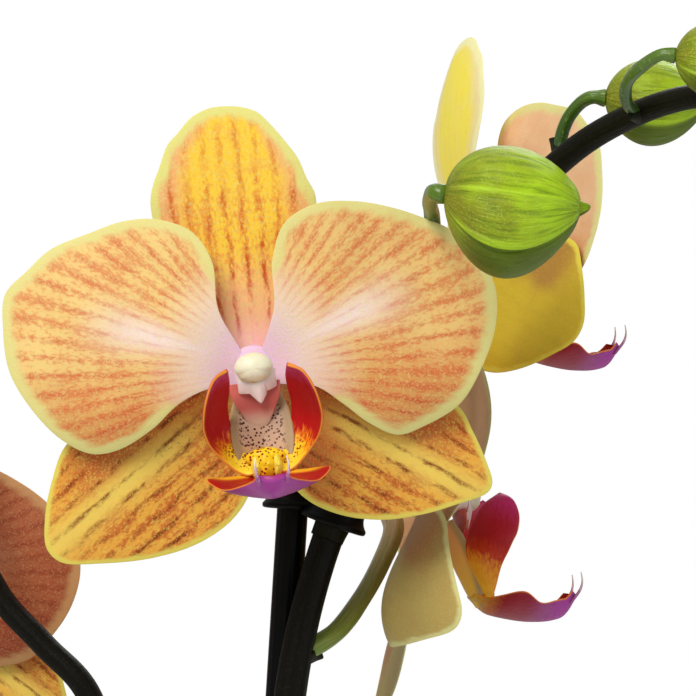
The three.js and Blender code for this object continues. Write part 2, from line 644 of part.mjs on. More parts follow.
function makeColumn({ detail }) {
  const { around } = detail;
  const stem = turned([[0, 1.5], [2.6, 1.5], [2.4, 4.4], [2.9, 7.4], [0, 8.4]], around);
  const cap = new THREE.SphereGeometry(1, around, around / 2 + 1);
  cap.scale(3.4, 2.7, 2.5);
  cap.translate(0, 0.9, 7.6);
  const beak = new THREE.ConeGeometry(1.9, 5, around / 2 + 1);
  beak.rotateX(Math.PI);
  beak.translate(0.1, -2.9, 7.4);
  return geometryOf(fuse([stem, cap, beak]));
}

function makeFlower(flower) {
  const group = new THREE.Group();
  group.applyMatrix4(flowerFrame(flower));
  group.add(meshOf(`${flower.name}_sepals`, makeSepals(flower), STYLE.sepal));
  group.add(meshOf(`${flower.name}_petals`, makePetals(flower), STYLE.petal));
  group.add(meshOf(`${flower.name}_lip`, makeLip(flower), STYLE.lip));
  group.add(meshOf(`${flower.name}_column`, makeColumn(flower), STYLE.column));
  return group;
}

// A bud: three cheeks with raised seams between them, blunt at its tip, with a small nib
function makeBud({ name, base, tip, radius, sag }) {
  const axis = vector(tip).sub(vector(base));
  const length = axis.length();
  const large = radius > 5;
  const around = large ? 11 : 8;
  const stations = large ? [0.14, 0.31, 0.5, 0.69, 0.85, 0.94] : [0.2, 0.5, 0.8, 0.93];
  const swell = (t) => radius * Math.sin(Math.PI * t ** 0.9) ** 0.55;
  const bud = turned([
    [0, 0], [0.28 * radius, 0.01 * length], ...stations.map((t) => [swell(t), t * length]),
    [0.1 * radius, 0.985 * length], [0, length],
  ], around);
  const place = bud.attributes.position;
  for (let i = 0; i < place.count; i++) {
    const [x, y, z] = [place.getX(i), place.getY(i), place.getZ(i)];
    const seam = 1 - 0.07 * (1 - Math.cos(3 * Math.atan2(y, x)));
    const droop = sag * Math.sin((Math.PI * z) / length);
    place.setXYZ(i, x * seam, y * seam - droop, z);
  }
  const face = axis.clone().normalize();
  const right = new THREE.Vector3(0, 0, 1).cross(face).normalize();
  const up = face.clone().cross(right);
  const mesh = meshOf(name, geometryOf(solidOf(bud)), STYLE.bud);
  mesh.applyMatrix4(new THREE.Matrix4().makeBasis(right, up, face).setPosition(...base));
  return mesh;
}

// Points of a stalk that runs into a piece straight along a direction and stops just short of it
function stalkTo(stalk, end, direction, runIn) {
  const behind = (distance) => end.clone().addScaledVector(direction, -distance).toArray();
  return [...stalk, behind(runIn), behind(STALK_CLEARANCE)];
}

function flowerStalk(flower) {
  const face = new THREE.Vector3().setFromMatrixColumn(flowerFrame(flower), 2);
  const end = vector(flower.centre).addScaledVector(face, -RECEPTACLE_DEPTH);
  const radii = [PEDICEL_RADIUS + 0.2, PEDICEL_RADIUS - 0.1, PEDICEL_RADIUS + 0.3];
  return tube(stalkTo(flower.stalk, end, face.normalize(), STALK_RUN_IN), radii, 5, 8);
}

function budStalk({ base, tip, stalk, radius }) {
  const direction = vector(tip).sub(vector(base)).normalize();
  const thick = Math.min(BUD_PEDICEL_RADIUS, 0.2 * radius + 0.35);
  return tube(stalkTo(stalk, vector(base), direction, BUD_RUN_IN), [thick, thick], 4, 6);
}

// A sheath clasps the spike and ends in a free edge that stands off it
function sheath(path, share, radius) {
  const curve = new THREE.CatmullRomCurve3(path.map(vector), false, "centripetal");
  const reach = 6 / curve.getLength();
  const points = [share - reach, share, share + reach].map((t) => curve.getPointAt(t).toArray());
  return tube(points, [radius + 0.3, radius + 0.6, radius + 1.1], 7, 2);
}

function makeSpike(name, path, radii, sheaths, stalks) {
  const stem = tube(path, radii, 7, 26);
  const girth = (share) => {
    const place = share * (radii.length - 1);
    return THREE.MathUtils.lerp(radii[Math.floor(place)], radii[Math.ceil(place)], place % 1);
  };
  const clasps = sheaths.map((share) => sheath(path, share, girth(share)));
  const whole = fuse([stem, ...clasps, ...stalks]);
  return meshOf(name, geometryOf(trimmed(whole, [crownSocket])), STYLE.spike);
}

function rod([from, to], radius, sides) {
  return tube([from, to], [radius], sides, 1);
}

// Point and direction of a curve or rod where it passes a height
function atHeight(path, z) {
  const curve = new THREE.CatmullRomCurve3(path.map(vector), false, "centripetal");
  let [low, high] = [0, 1];
  for (let k = 0; k < 30; k++) {
    const middle = (low + high) / 2;
    if (curve.getPointAt(middle).z < z) low = middle;
    else high = middle;
  }
  return { point: curve.getPointAt(low), along: curve.getTangentAt(low) };
}

// A clip: a flared collar round the stake and another round the spike, joined by a web
function makeClip(name, stake, spike, spikeRadius, height) {
  const collar = (path, inner) => {
    const { point, along } = atHeight(path, height);
    const ring = turned([
      [0, 0], [inner + CLIP_WALL + 1.9, 0], [inner + CLIP_WALL, 2.2],
      [inner + CLIP_WALL, CLIP_HEIGHT], [0, CLIP_HEIGHT],
    ], 8);
    const turn = new THREE.Quaternion().setFromUnitVectors(new THREE.Vector3(0, 0, 1), along);
    const bore = new THREE.CylinderGeometry(inner, inner, 40, 8);
    bore.rotateX(Math.PI / 2);
    for (const shape of [ring, bore]) {
      shape.applyQuaternion(turn);
      shape.translate(point.x, point.y, point.z);
    }
    return { ring, bore, point };
  };
  const one = collar(stake, STAKE_RADIUS + GAP + 0.15);
  const two = collar(spike, spikeRadius + GAP + 0.15);
  const span = two.point.clone().sub(one.point);
  const web = new THREE.BoxGeometry(span.length(), 3, CLIP_HEIGHT - 1);
  web.rotateZ(Math.atan2(span.y, span.x));
  const middle = one.point.clone().add(two.point).multiplyScalar(0.5);
  web.translate(middle.x, middle.y, middle.z + CLIP_HEIGHT / 2);
  const solid = fuse([one.ring, two.ring, web]).subtract(solidOf(one.bore)).subtract(solidOf(two.bore));
  return meshOf(name, geometryOf(solid), STYLE.support);
}

const part = new THREE.Group();
part.name = "moth_orchid";

const crownSocket = solidOf(crownGeometry(GAP));
const rootTube = (path, extra) => tube(path, [ROOT_RADIUS + extra, ROOT_RADIUS - 0.4 + extra], 6, 8);
part.add(makePot());
part.add(makeBark([
  crownGeometry(GAP),
  rod(STAKE_ONE, STAKE_RADIUS + GAP, 12),
  rod(STAKE_TWO, STAKE_RADIUS + GAP, 12),
  ...ROOTS.map(({ path }) => rootTube(path, GAP + 0.1)),
]));
part.add(meshOf("crown", geometryOf(solidOf(crownGeometry(0))), STYLE.crown));
for (const { name, path } of ROOTS) {
  part.add(meshOf(name, geometryOf(trimmed(solidOf(rootTube(path, 0)), [crownSocket])), STYLE.root));
}
for (const leaf of LEAVES) {
  part.add(meshOf(leaf.name, geometryOf(trimmed(solidOf(leafBlade(leaf)), [crownSocket])), STYLE.leaf));
}

part.add(meshOf("stake_1", rod(STAKE_ONE, STAKE_RADIUS, 12), STYLE.support));
part.add(meshOf("stake_2", rod(STAKE_TWO, STAKE_RADIUS, 12), STYLE.support));
part.add(makeClip("clip_1", STAKE_ONE, SPIKE_ONE, 3.65, 396));
part.add(makeClip("clip_2", STAKE_ONE, SPIKE_ONE, 3.25, 236));
part.add(makeClip("clip_3", STAKE_TWO, SPIKE_TWO, 2.7, 296));

const stalksOf = (flowers, buds) => [
  ...flowers.map(flowerStalk),
  ...buds.filter(({ stalk }) => stalk.length > 0).map(budStalk),
];
const stalksOne = stalksOf(FLOWERS.slice(0, 3), BUDS.slice(0, 5));
const stalksTwo = stalksOf(FLOWERS.slice(3), BUDS.slice(5));
part.add(makeSpike("spike_1", SPIKE_ONE, SPIKE_RADII, SHEATHS_ONE, stalksOne));
part.add(makeSpike("spike_2", SPIKE_TWO, SPIKE_TWO_RADII, SHEATHS_TWO, stalksTwo));
for (const flower of FLOWERS) part.add(makeFlower(flower));
for (const bud of BUDS) part.add(makeBud(bud));

export default part;
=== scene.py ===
"""Fine surfaces, finishes, camera and light for a potted moth orchid.

Every class works in millimetres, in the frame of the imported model: +Z up, the origin under
the pot, the main flower facing -Y. Meshes hold metres.
"""
import logging
from collections.abc import Callable, Sequence
from dataclasses import dataclass, field
from enum import Enum
from functools import partial
from typing import ClassVar

import bpy
import numpy as np
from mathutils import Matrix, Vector


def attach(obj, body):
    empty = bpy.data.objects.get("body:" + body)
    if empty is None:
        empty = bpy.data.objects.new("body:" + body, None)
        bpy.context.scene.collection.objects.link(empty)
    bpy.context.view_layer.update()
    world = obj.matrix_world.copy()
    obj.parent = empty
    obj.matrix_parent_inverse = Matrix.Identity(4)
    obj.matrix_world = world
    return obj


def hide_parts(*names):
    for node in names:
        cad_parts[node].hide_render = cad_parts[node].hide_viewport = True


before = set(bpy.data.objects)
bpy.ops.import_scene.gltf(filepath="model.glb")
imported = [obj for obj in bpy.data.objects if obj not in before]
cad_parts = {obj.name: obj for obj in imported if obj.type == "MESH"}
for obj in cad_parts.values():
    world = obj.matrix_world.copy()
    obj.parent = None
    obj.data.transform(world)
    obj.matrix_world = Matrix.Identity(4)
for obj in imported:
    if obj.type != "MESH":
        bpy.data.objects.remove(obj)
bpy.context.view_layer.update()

MM = 0.001
BODY = "root"
UP = np.array([0.0, 0.0, 1.0])
Array = np.ndarray
Values = dict[str, Array]
Points = Sequence[Sequence[float]]
Pair = tuple[float, float]
Stops = Sequence[tuple[float, str]]
Socket = bpy.types.NodeSocket
Material = bpy.types.Material
Wardrobe = dict[str, Material]
Piece = bpy.types.Object
log = logging.getLogger("orchid")


class Fineness(Enum):
    """How finely a flower is drawn: points round a blade and rings across it."""

    NEAR = (180, 36)
    MIDDLE = (150, 28)
    FAR = (108, 20)


def smooth(share: Array | float) -> Array:
    """Ease from 0 to 1: 3s^2 - 2s^3 of the share held between 0 and 1."""
    held = np.clip(share, 0.0, 1.0)
    return held * held * (3.0 - 2.0 * held)


def unit(vectors: Array) -> Array:
    """Vectors divided by their lengths."""
    return vectors / np.linalg.norm(vectors, axis=-1, keepdims=True)


def joined(*parts: Array | float) -> Array:
    """Coordinates or values set side by side on a new last axis."""
    return np.stack(np.broadcast_arrays(*parts), axis=-1)


def walk(points: Array) -> Array:
    """Length of the way along points, from the first one to each."""
    return np.append(0, np.cumsum(np.linalg.norm(np.diff(points, axis=0), axis=1)))


def circle(count: int) -> Array:
    """Angles evenly round a circle, from 0 and short of the full turn."""
    return np.linspace(0, 2 * np.pi, count, endpoint=False)


def cos_sin(degrees: float) -> Pair:
    """Cosine and sine of an angle in degrees."""
    return np.cos(np.radians(degrees)), np.sin(np.radians(degrees))


def spokes(angle: Array, side: Array, other: Array) -> Array:
    """Unit vectors at angles round a circle: cos a * side + sin a * other."""
    return np.cos(angle)[:, None] * side + np.sin(angle)[:, None] * other


def ribbed(count: int, ribs: int, depth: float) -> Array:
    """Factors on the radius at points round a ribbed bar: 1 + depth cos(ribs a)."""
    return 1 + depth * np.cos(ribs * circle(count))


def capped(grid: Array) -> Array:
    """A grid with one more row at each end, all at the middle of that end."""
    first, last = (np.broadcast_to(grid[row].mean(axis=0), grid[:1].shape) for row in (0, -1))
    return np.concatenate([first, grid, last])


def noise(coordinates: Array, size: float, seed: int) -> Array:
    """Soft waves without a grid.

    The value is the mean of six sines, each along its own random direction with a wavelength
    near the given size.

    Args:
        coordinates: points, one a row, in millimetres.
        size: mean wavelength in millimetres.
        seed: choice of directions.

    Returns:
        One value a point, within -1 and 1.
    """
    draw = np.random.default_rng(seed)
    ways = unit(draw.normal(size=(6, coordinates.shape[-1]))) * draw.uniform(0.7, 1.5, (6, 1))
    waves = coordinates @ ways.T * (2 * np.pi / size) + draw.uniform(0, 2 * np.pi, 6)
    return np.sin(waves).mean(axis=-1)


def spline(points: Points, count: int, closed: bool = False) -> Array:
    """Even points on a centripetal Catmull-Rom curve.

    Between neighbours the curve is the cubic whose slopes come from the knots spaced by the
    square root of the distances; it is then walked at even arc length.

    Args:
        points: control points of any dimension.
        count: how many points to give back.
        closed: whether the curve returns to its start, which is then not repeated.

    Returns:
        Array of count points.
    """
    knots = np.asarray(points, float)
    if closed:
        knots = np.vstack([knots[-1], knots, knots[0], knots[1]])
    else:
        knots = np.vstack([2 * knots[0] - knots[1], knots, 2 * knots[-1] - knots[-2]])
    a, b, c, d = knots[:-3], knots[1:-2], knots[2:-1], knots[3:]
    gaps = np.sqrt(np.linalg.norm(np.diff(knots, axis=0), axis=1))[:, None]
    before, within, after = gaps[:-2], gaps[1:-1], gaps[2:]
    leave = ((b - a) / before - (c - a) / (before + within) + (c - b) / within) * within
    arrive = ((c - b) / within - (d - b) / (within + after) + (d - c) / after) * within
    t = np.linspace(0, 1, 40, endpoint=False)[:, None, None]
    curve = (
        (2 * t**3 - 3 * t**2 + 1) * b + (t**3 - 2 * t**2 + t) * leave
        + (3 * t**2 - 2 * t**3) * c + (t**3 - t**2) * arrive
    )
    curve = np.vstack([curve.transpose(1, 0, 2).reshape(-1, knots.shape[1]), c[-1:]])
    walked = walk(curve)
    stops = np.linspace(0, walked[-1], count + 1)[:-1] if closed else np.linspace(0, walked[-1], count)
    return np.column_stack([np.interp(stops, walked, axis) for axis in curve.T])


@dataclass
class Skin:
    """A closed surface: points in millimetres, faces, and named three-part values at the points."""

    points: Array
    quads: Array
    triangles: Array
    traits: Values = field(default_factory=dict)

    @classmethod
    def wrapped(cls, grid: Array, **traits: Array) -> "Skin":
        """Close a grid of points.

        Rows run from one pole to the other, and columns run round and join their first; the
        first and the last row become one point each.

        Args:
            grid: points, rows by columns by three.
            traits: values that fit the grid.

        Returns:
            The closed skin.
        """
        rows, columns = grid.shape[:2]

        def gathered(values: Array) -> Array:
            """The values at the points that are left, one a row."""
            return np.vstack([values[:1, 0], values[1:-1].reshape(-1, 3), values[-1:, 0]])

        index = 1 + np.arange((rows - 2) * columns).reshape(rows - 2, columns)
        turned = np.roll(index, -1, axis=1)
        last = index[-1, -1] + 1
        quads = np.stack([index[:-1], index[1:], turned[1:], turned[:-1]], axis=-1).reshape(-1, 4)
        first_pole = joined(0, index[0], turned[0])
        last_pole = joined(last, turned[-1], index[-1])
        held = {name: gathered(np.broadcast_to(value, grid.shape)) for name, value in traits.items()}
        return cls(gathered(grid), quads, np.vstack([first_pole, last_pole]), held).outward()

    @classmethod
    def ring(cls, grid: Array, **traits: Array) -> "Skin":
        """Close a grid of points whose rows and columns both run round and join their first.

        Args:
            grid: points, rows by columns by three.
            traits: values that fit the grid.

        Returns:
            The closed skin.
        """
        index = np.arange(grid.shape[0] * grid.shape[1]).reshape(grid.shape[:2])
        down = np.roll(index, -1, axis=0)
        corners = [index, down, np.roll(down, -1, axis=1), np.roll(index, -1, axis=1)]
        quads = np.stack(corners, axis=-1).reshape(-1, 4)
        held = {name: np.broadcast_to(value, grid.shape).reshape(-1, 3) for name, value in traits.items()}
        return cls(grid.reshape(-1, 3), quads, np.zeros((0, 3), int), held).outward()

    def outward(self) -> "Skin":
        """Turn the faces outwards by the sign of the volume, the sum of p0 . (p1 x p2) / 6.

        Returns:
            The skin itself.
        """
        faces = np.vstack([self.triangles, self.quads[:, :3], self.quads[:, [0, 2, 3]]])
        corners = self.points[faces] - self.points.mean(axis=0)
        if np.einsum("ij,ij->i", corners[:, 0], np.cross(corners[:, 1], corners[:, 2])).sum() < 0:
            self.quads = self.quads[:, ::-1]
            self.triangles = self.triangles[:, ::-1]
        return self

    def moved(self, place: Callable[[Array], Array]) -> "Skin":
        """The same skin with its points put through a move."""
        return Skin(place(self.points), self.quads, self.triangles, self.traits).outward()

    def tinted(self, **values: Array | Sequence[float]) -> "Skin":
        """The same skin with further values, each one for all its points or one a point."""
        held = {name: np.broadcast_to(value, self.points.shape) for name, value in values.items()}
        return Skin(self.points, self.quads, self.triangles, {**self.traits, **held})


def make_piece(name: str, skins: Sequence[Skin], finish: Material, slot: str, *nodes: str) -> Piece:
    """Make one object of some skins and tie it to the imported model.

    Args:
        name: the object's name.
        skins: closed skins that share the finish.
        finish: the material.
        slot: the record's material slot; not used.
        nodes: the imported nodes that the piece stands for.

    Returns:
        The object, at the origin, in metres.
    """
    starts = np.cumsum([0] + [len(skin.points) for skin in skins])
    faces = []
    for skin, start in zip(skins, starts):
        faces += (skin.quads + start).tolist() + (skin.triangles + start).tolist()
    mesh = bpy.data.meshes.new(name)
    mesh.from_pydata(np.vstack([skin.points for skin in skins]) * MM, [], faces)
    for trait in skins[0].traits:
        values = np.vstack([skin.traits[trait] for skin in skins]).astype(np.float32)
        mesh.attributes.new(trait, "FLOAT_VECTOR", "POINT").data.foreach_set("vector", values.ravel())
    mesh.shade_smooth()
    mesh.materials.append(finish)
    mesh.update()
    piece = bpy.data.objects.new(name, mesh)
    bpy.context.scene.collection.objects.link(piece)
    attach(piece, BODY)
    if nodes:
        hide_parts(*nodes)
    return piece


def tube(path: Array, radius: Array | float, around: int = 20, section: Array | None = None,
         domes: Pair = (1.0, 1.0)) -> Skin:
    """A bar along a path, domed at both ends.

    A point is path(i) + radius(i) * section(a) * (cos a * side + sin a * other), where side and
    other stand across the path; each dome goes on along the end tangent as a quarter circle.
    Side is square to the one of seven guides that the path never comes near.

    Args:
        path: points along the middle.
        radius: radius at each point, or one for all.
        around: points round the bar.
        section: factor on the radius at each angle.
        domes: how far each end bulges, as a share of its radius.

    Returns:
        Skin whose trait flow holds angle share, millimetres along and share along.
    """
    path = np.asarray(path, float)
    radius = np.broadcast_to(np.asarray(radius, float), len(path))
    tangent = unit(np.gradient(path, axis=0))
    guides = unit(np.vstack([np.eye(3), [[1, 1, 0], [1, -1, 0], [1, 0, 1], [0, 1, 1]]]))
    guide = guides[np.abs(tangent @ guides.T).max(axis=0).argmin()]
    side = unit(np.cross(guide, tangent))
    other = np.cross(tangent, side)
    share = np.array([0.0, 0.38, 0.71, 0.92])
    bulge = np.sqrt(1 - share**2)[:, None]
    head = path[0] - tangent[0] * radius[0] * bulge * domes[0]
    tail = path[-1] + tangent[-1] * radius[-1] * bulge[::-1] * domes[1]
    line = np.vstack([head, path, tail])
    girth = np.concatenate([radius[0] * share, radius, radius[-1] * share[::-1]])
    side, other = (np.pad(axis, ((4, 4), (0, 0)), mode="edge")[:, None] for axis in (side, other))
    angle = circle(around)
    factor = np.ones(around) if section is None else section
    grid = line[:, None] + girth[:, None, None] * factor[:, None] * spokes(angle, side, other)
    along = walk(line)[:, None]
    return Skin.wrapped(grid, flow=joined(angle / (2 * np.pi), along, along / along[-1]))


def shaded(bar: Skin, shades: Pair) -> Skin:
    """A bar with a tone that runs evenly from one shade at its start to the other at its end."""
    shade = shades[0] + (shades[1] - shades[0]) * bar.traits["flow"][:, 2]
    return bar.tinted(tone=joined(shade, 0, 0))


def lathe(profile: Points, around: int) -> Skin:
    """Turn a profile about Z: a point is (radius cos a, radius sin a, height).

    Args:
        profile: radii and heights, from the axis back to the axis.
        around: points round it.

    Returns:
        Skin whose trait flow is its points.
    """
    radius, height = np.asarray(profile, float).T[:, :, None]
    angle = circle(around)
    grid = joined(radius * np.cos(angle), radius * np.sin(angle), height)
    return Skin.wrapped(grid, flow=grid)


def ball(size: Sequence[float], centre: Sequence[float], swell: Callable[[Array, Array], Array] | None = None,
         rows: int = 24, around: int = 32) -> Skin:
    """An egg about its Z axis.

    A point is centre + size * swell(p, a) * (sin p cos a, sin p sin a, cos p).

    Args:
        size: half size along each axis.
        centre: its middle.
        swell: factor on the size by the angle from the top and the angle round, 1 where none is given.
        rows: points from top to bottom.
        around: points round it.

    Returns:
        The egg.
    """
    polar, angle = np.meshgrid(np.linspace(0, np.pi, rows), circle(around), indexing="ij")
    factor = np.ones_like(polar) if swell is None else swell(polar, angle)
    grid = joined(np.sin(polar) * np.cos(angle), np.sin(polar) * np.sin(angle), np.cos(polar))
    return Skin.wrapped(grid * np.asarray(size) * factor[..., None] + np.asarray(centre))


def sheet(middle: Array, across: Array, thickness: Array | float, paint: Callable[[float], Values]) -> Skin:
    """A thin body along rows of points, rounded at its edges.

    The front is middle + h * normal and the back middle - h * normal, where the normal is the
    cross product of the way along and the way across, and h falls to nothing at the edges as
    sqrt(1 - v^8). The first and last row close on their own middle.

    Args:
        middle: points, rows by columns by three.
        across: v of each column, from -1 to 1.
        thickness: full thickness, one for all or one a point.
        paint: gives the values on the grid of the front, 1, and of the back, 0.

    Returns:
        The closed skin.
    """
    normal = unit(np.cross(np.gradient(middle, axis=0), np.gradient(middle, axis=1)))
    half = 0.5 * thickness * np.sqrt(np.clip(1 - across**8, 0, 1))
    front, back = (middle + sign * half[..., None] * normal for sign in (1, -1))

    def looped(one: Array, two: Array) -> Array:
        """The front's rows with the back's behind them, closed at both ends."""
        one, two = (np.broadcast_to(value, middle.shape) for value in (one, two))
        return capped(np.concatenate([one, two[:, -2:0:-1]], axis=1))

    fore, aft = paint(1.0), paint(0.0)
    return Skin.wrapped(looped(front, back), **{name: looped(fore[name], aft[name]) for name in fore})


@dataclass(frozen=True)
class Spread:
    """One side of a blade: x and y of its points, their distance to the rim, and 1 in front or 0."""

    x: Array
    y: Array
    left: Array
    front: float


def blade(outline: Points, height: Callable[[Array, Array], Array], fineness: tuple[int, int],
          paint: Callable[[Spread], Values], body: float = 0.8, rim: float = 0.34) -> Skin:
    """A petal-like body over an outline.

    Rings of points are drawn in from the outline to its middle by the shares sin(q), so they lie
    close at the rim. Front and back stand off height(x, y) - body / 2 by half a thickness that
    thins from body to rim as the cube of the share s and rounds off as sqrt(1 - s^16).

    Args:
        outline: points in the flower's plane.
        height: how far the front stands out of that plane.
        fineness: points round the outline, and rings.
        paint: gives the values on the front and on the back.
        body: thickness at the middle.
        rim: thickness near the rim.

    Returns:
        The closed skin.
    """
    around, rings = fineness
    edge = spline(outline, around, closed=True)
    middle = edge.mean(axis=0)
    share = np.sin(np.linspace(0, np.pi / 2, rings + 1))[:, None]
    spoke = edge - middle
    x, y = ((middle[k] + spoke[:, k] * share) for k in (0, 1))
    left = (1 - share) * np.linalg.norm(spoke, axis=1)
    half = 0.5 * (rim + (body - rim) * (1 - share**3)) * np.sqrt(np.clip(1 - share**16, 0, 1))
    core = height(x, y) - body / 2

    def both(one: Array, two: Array) -> Array:
        """The front's rings from the middle out, then the back's from the rim in."""
        return np.concatenate([one, two[-2::-1]])

    grid = both(joined(x, y, core + half), joined(x, y, core - half))
    fore, aft = (paint(Spread(x, y, left, side)) for side in (1.0, 0.0))
    return Skin.wrapped(grid, **{name: both(fore[name], aft[name]) for name in fore})


def linear(code: str) -> tuple[float, ...]:
    """Linear colour of an sRGB hex code: c / 12.92 up to 0.04045, else ((c + 0.055) / 1.055)^2.4.

    Args:
        code: such as #f7f7f6.

    Returns:
        Red, green, blue, and 1 for full cover.
    """
    parts = np.array([int(code[k:k + 2], 16) for k in (1, 3, 5)]) / 255
    light = np.where(parts <= 0.04045, parts / 12.92, ((parts + 0.055) / 1.055) ** 2.4)
    return (*light.tolist(), 1.0)


def add_node(tree: bpy.types.NodeTree, kind: str, *values: object, stops: Stops = (),
             **named: object) -> Socket | None:
    """Add a node with its settings, values and links.

    Args:
        tree: the material's node tree.
        kind: the node's type without ShaderNode in front.
        values: a number, a hex colour or a socket to link for each input in use, in their order.
        stops: places and hex colours of a colour ramp.
        named: more inputs, whose names have capitals, and settings, whose names have none.

    Returns:
        The node's first output in use.
    """
    node = tree.nodes.new("ShaderNode" + kind)
    for name in filter(str.islower, named):
        setattr(node, name, named[name])
    given = list(zip((place for place in node.inputs if place.enabled), values))
    given += [(node.inputs[name], value) for name, value in named.items() if not name.islower()]
    for place, value in given:
        if isinstance(value, Socket):
            tree.links.new(value, place)
        else:
            place.default_value = linear(value) if isinstance(value, str) else value
    for count, (position, colour) in enumerate(stops):
        elements = node.color_ramp.elements
        element = elements[count] if count < len(elements) else elements.new(position)
        element.position = position
        element.color = linear(colour)
    return next((output for output in node.outputs if output.enabled), None)


@dataclass
class Coat:
    """A material in the making: its tree, its shader and its place on the piece."""

    name: str
    shader: dict[str, float]

    def __post_init__(self) -> None:
        """Make the material with its shader's constant values."""
        self.material = bpy.data.materials.new(self.name)
        self.material.use_nodes = True
        self.material.node_tree.nodes.clear()
        self.add = partial(add_node, self.material.node_tree)
        self.surface = self.add("BsdfPrincipled", **self.shader)
        self.add("OutputMaterial", self.surface)
        self.place = self.add("TexCoord").node.outputs["Object"]

    def value(self, name: str) -> tuple[Socket, Sequence[Socket]]:
        """A value that the mesh holds at its points, whole and as its three parts."""
        whole = self.add("Attribute", attribute_name=name).node.outputs["Vector"]
        return whole, self.add("SeparateXYZ", whole).node.outputs

    def layered(self, ground: Socket | str, *layers: tuple[Socket | str, Socket]) -> Socket:
        """Lay colours over a ground one after another.

        Args:
            ground: the lowest colour, as a socket or a hex code.
            layers: each colour with the share that it covers.

        Returns:
            The colour on top.
        """
        for colour, share in layers:
            ground = self.add("Mix", share, ground, colour, data_type="RGBA")
        return ground

    def done(self, colour: Socket, relief: Socket, depth: float) -> Material:
        """Join a colour and a relief to the shader.

        Args:
            colour: the base colour.
            relief: how far the surface stands out, from 0 to 1.
            depth: height of the relief in millimetres.

        Returns:
            The finished material.
        """
        links = self.material.node_tree.links
        bump = self.add("Bump", Height=relief, Distance=depth * MM)
        links.new(colour, self.surface.node.inputs["Base Color"])
        links.new(bump, self.surface.node.inputs["Normal"])
        return self.material


@dataclass(frozen=True)
class TepalFinish:
    """Grown petal tissue: domed cells under a thin wax give a soft light, fine grain and veins."""

    name: str
    ground: str
    warm: str
    fleck: str
    line: str
    rim: str
    heart: str
    band: str
    back: str
    # Second back colour, laid by the warm share: a real warmer patch on petals, painted shade of the fold on
    # lower sepals.
    back_warm_and_shade: str
    back_rim: str
    flecks: float = 0.75
    lines: float = 0.6
    beads: float = 0.3
    back_lines: float = 0.06
    dot: str = "#5a2c10"

    def material(self) -> Material:
        """Flecks and broken veins over a mottled ground, with a ragged pale rim, a pale heart and painted
        glints.

        Flecks are noise above a threshold, a fifth of a vein's spacing across and 1.2 mm along,
        with a grain of 0.4 mm, far coarser than the real cells so that it shows. A vein shows
        where its closeness, 1 - 2 pingpong(across), is high and a noise 5 mm long leaves it.
        The rim's ramp plus 0.8 of that noise is cut softly from 0.62 to 1.15.

        Returns:
            The material.
        """
        coat = Coat(self.name, {
            "Roughness": 0.5, "IOR": 1.4, "Specular IOR Level": 0.2, "Sheen Weight": 0.04,
            "Sheen Roughness": 0.5, "Subsurface Weight": 0.1, "Subsurface Scale": 0.6 * MM,
        })
        add = coat.add
        flow, (across, _, front) = coat.value("flow")
        _, (envelope, rim, heart) = coat.value("tone")
        _, (band, warm, dots) = coat.value("zone")
        drift = add("TexNoise", coat.place, Scale=170.0, Detail=2.0)
        grain = add("TexNoise", coat.place, Scale=2500.0, Detail=1.0)
        dashes_at = add("Mapping", flow, Scale=(5.5, 0.85, 1.0))
        dashes = add("TexNoise", dashes_at, Scale=1.0, Detail=2.5)
        runs_at = add("Mapping", flow, Scale=(1.7, 0.2, 1.0))
        runs = add("TexNoise", runs_at, Scale=1.0, Detail=3.0)
        bent = add("Math", drift, 0.5, across, operation="MULTIPLY_ADD")
        folded = add("Math", bent, 0.5, operation="PINGPONG")
        near = add("Math", folded, -2.0, 1.0, operation="MULTIPLY_ADD")
        massed = add("Math", drift, 0.5, dashes, operation="MULTIPLY_ADD")
        tilted = add("Math", near, 0.25, massed, operation="MULTIPLY_ADD")
        grained = add("Math", grain, 0.35, tilted, operation="MULTIPLY_ADD")
        fleck = add("MapRange", grained, 0.94, 1.16, 0.0, envelope, interpolation_type="SMOOTHSTEP")
        flecks = add("Math", fleck, self.flecks, operation="MULTIPLY")
        beaded = add("Math", dashes, self.beads, runs, operation="MULTIPLY_ADD")
        start = 0.42 + 0.5 * self.beads
        kept = add("MapRange", beaded, start, start + 0.2, 0.0, envelope)
        vein = add("MapRange", near, 0.5, 0.9, 0.0, kept, interpolation_type="SMOOTHSTEP")
        lines = add("Math", vein, self.lines, operation="MULTIPLY")
        frayed = add("Math", runs, 0.8, rim, operation="MULTIPLY_ADD")
        pale = add("MapRange", frayed, 0.62, 1.15, interpolation_type="SMOOTHSTEP")
        # Painted highlight: pale glints on the cells, laid in the rim colour where the grain is high.
        light = add("MapRange", grain, 0.52, 0.7, 0.0, 0.5)
        patch = add("Math", drift, 0.6, warm, operation="MULTIPLY_ADD")
        warmth = add("MapRange", patch, 0.3, 1.1)
        rows = add("MapRange", grain, 0.62, 0.67, 0.0, dots)
        fore = coat.layered(
            self.ground, (self.warm, warmth), (self.fleck, flecks), (self.band, band), (self.line, lines),
            (self.heart, heart), (self.rim, light), (self.dot, rows), (self.rim, pale))
        faint = add("Math", vein, self.back_lines, operation="MULTIPLY")
        # Painted highlight: the same glints, fainter, on the back.
        glint = add("Math", light, 0.35, operation="MULTIPLY")
        # On lower sepals the back's warm layer is painted shade of the fold.
        aft = coat.layered(self.back, (self.back_warm_and_shade, warmth), (self.line, faint), (self.heart, heart),
                           (self.back_rim, glint), (self.back_rim, pale))
        colour = coat.layered(aft, (fore, front))
        ribs = add("Math", near, envelope, operation="MULTIPLY")
        relief = add("Math", ribs, 0.4, grain, operation="MULTIPLY_ADD")
        return coat.done(colour, relief, 0.08)


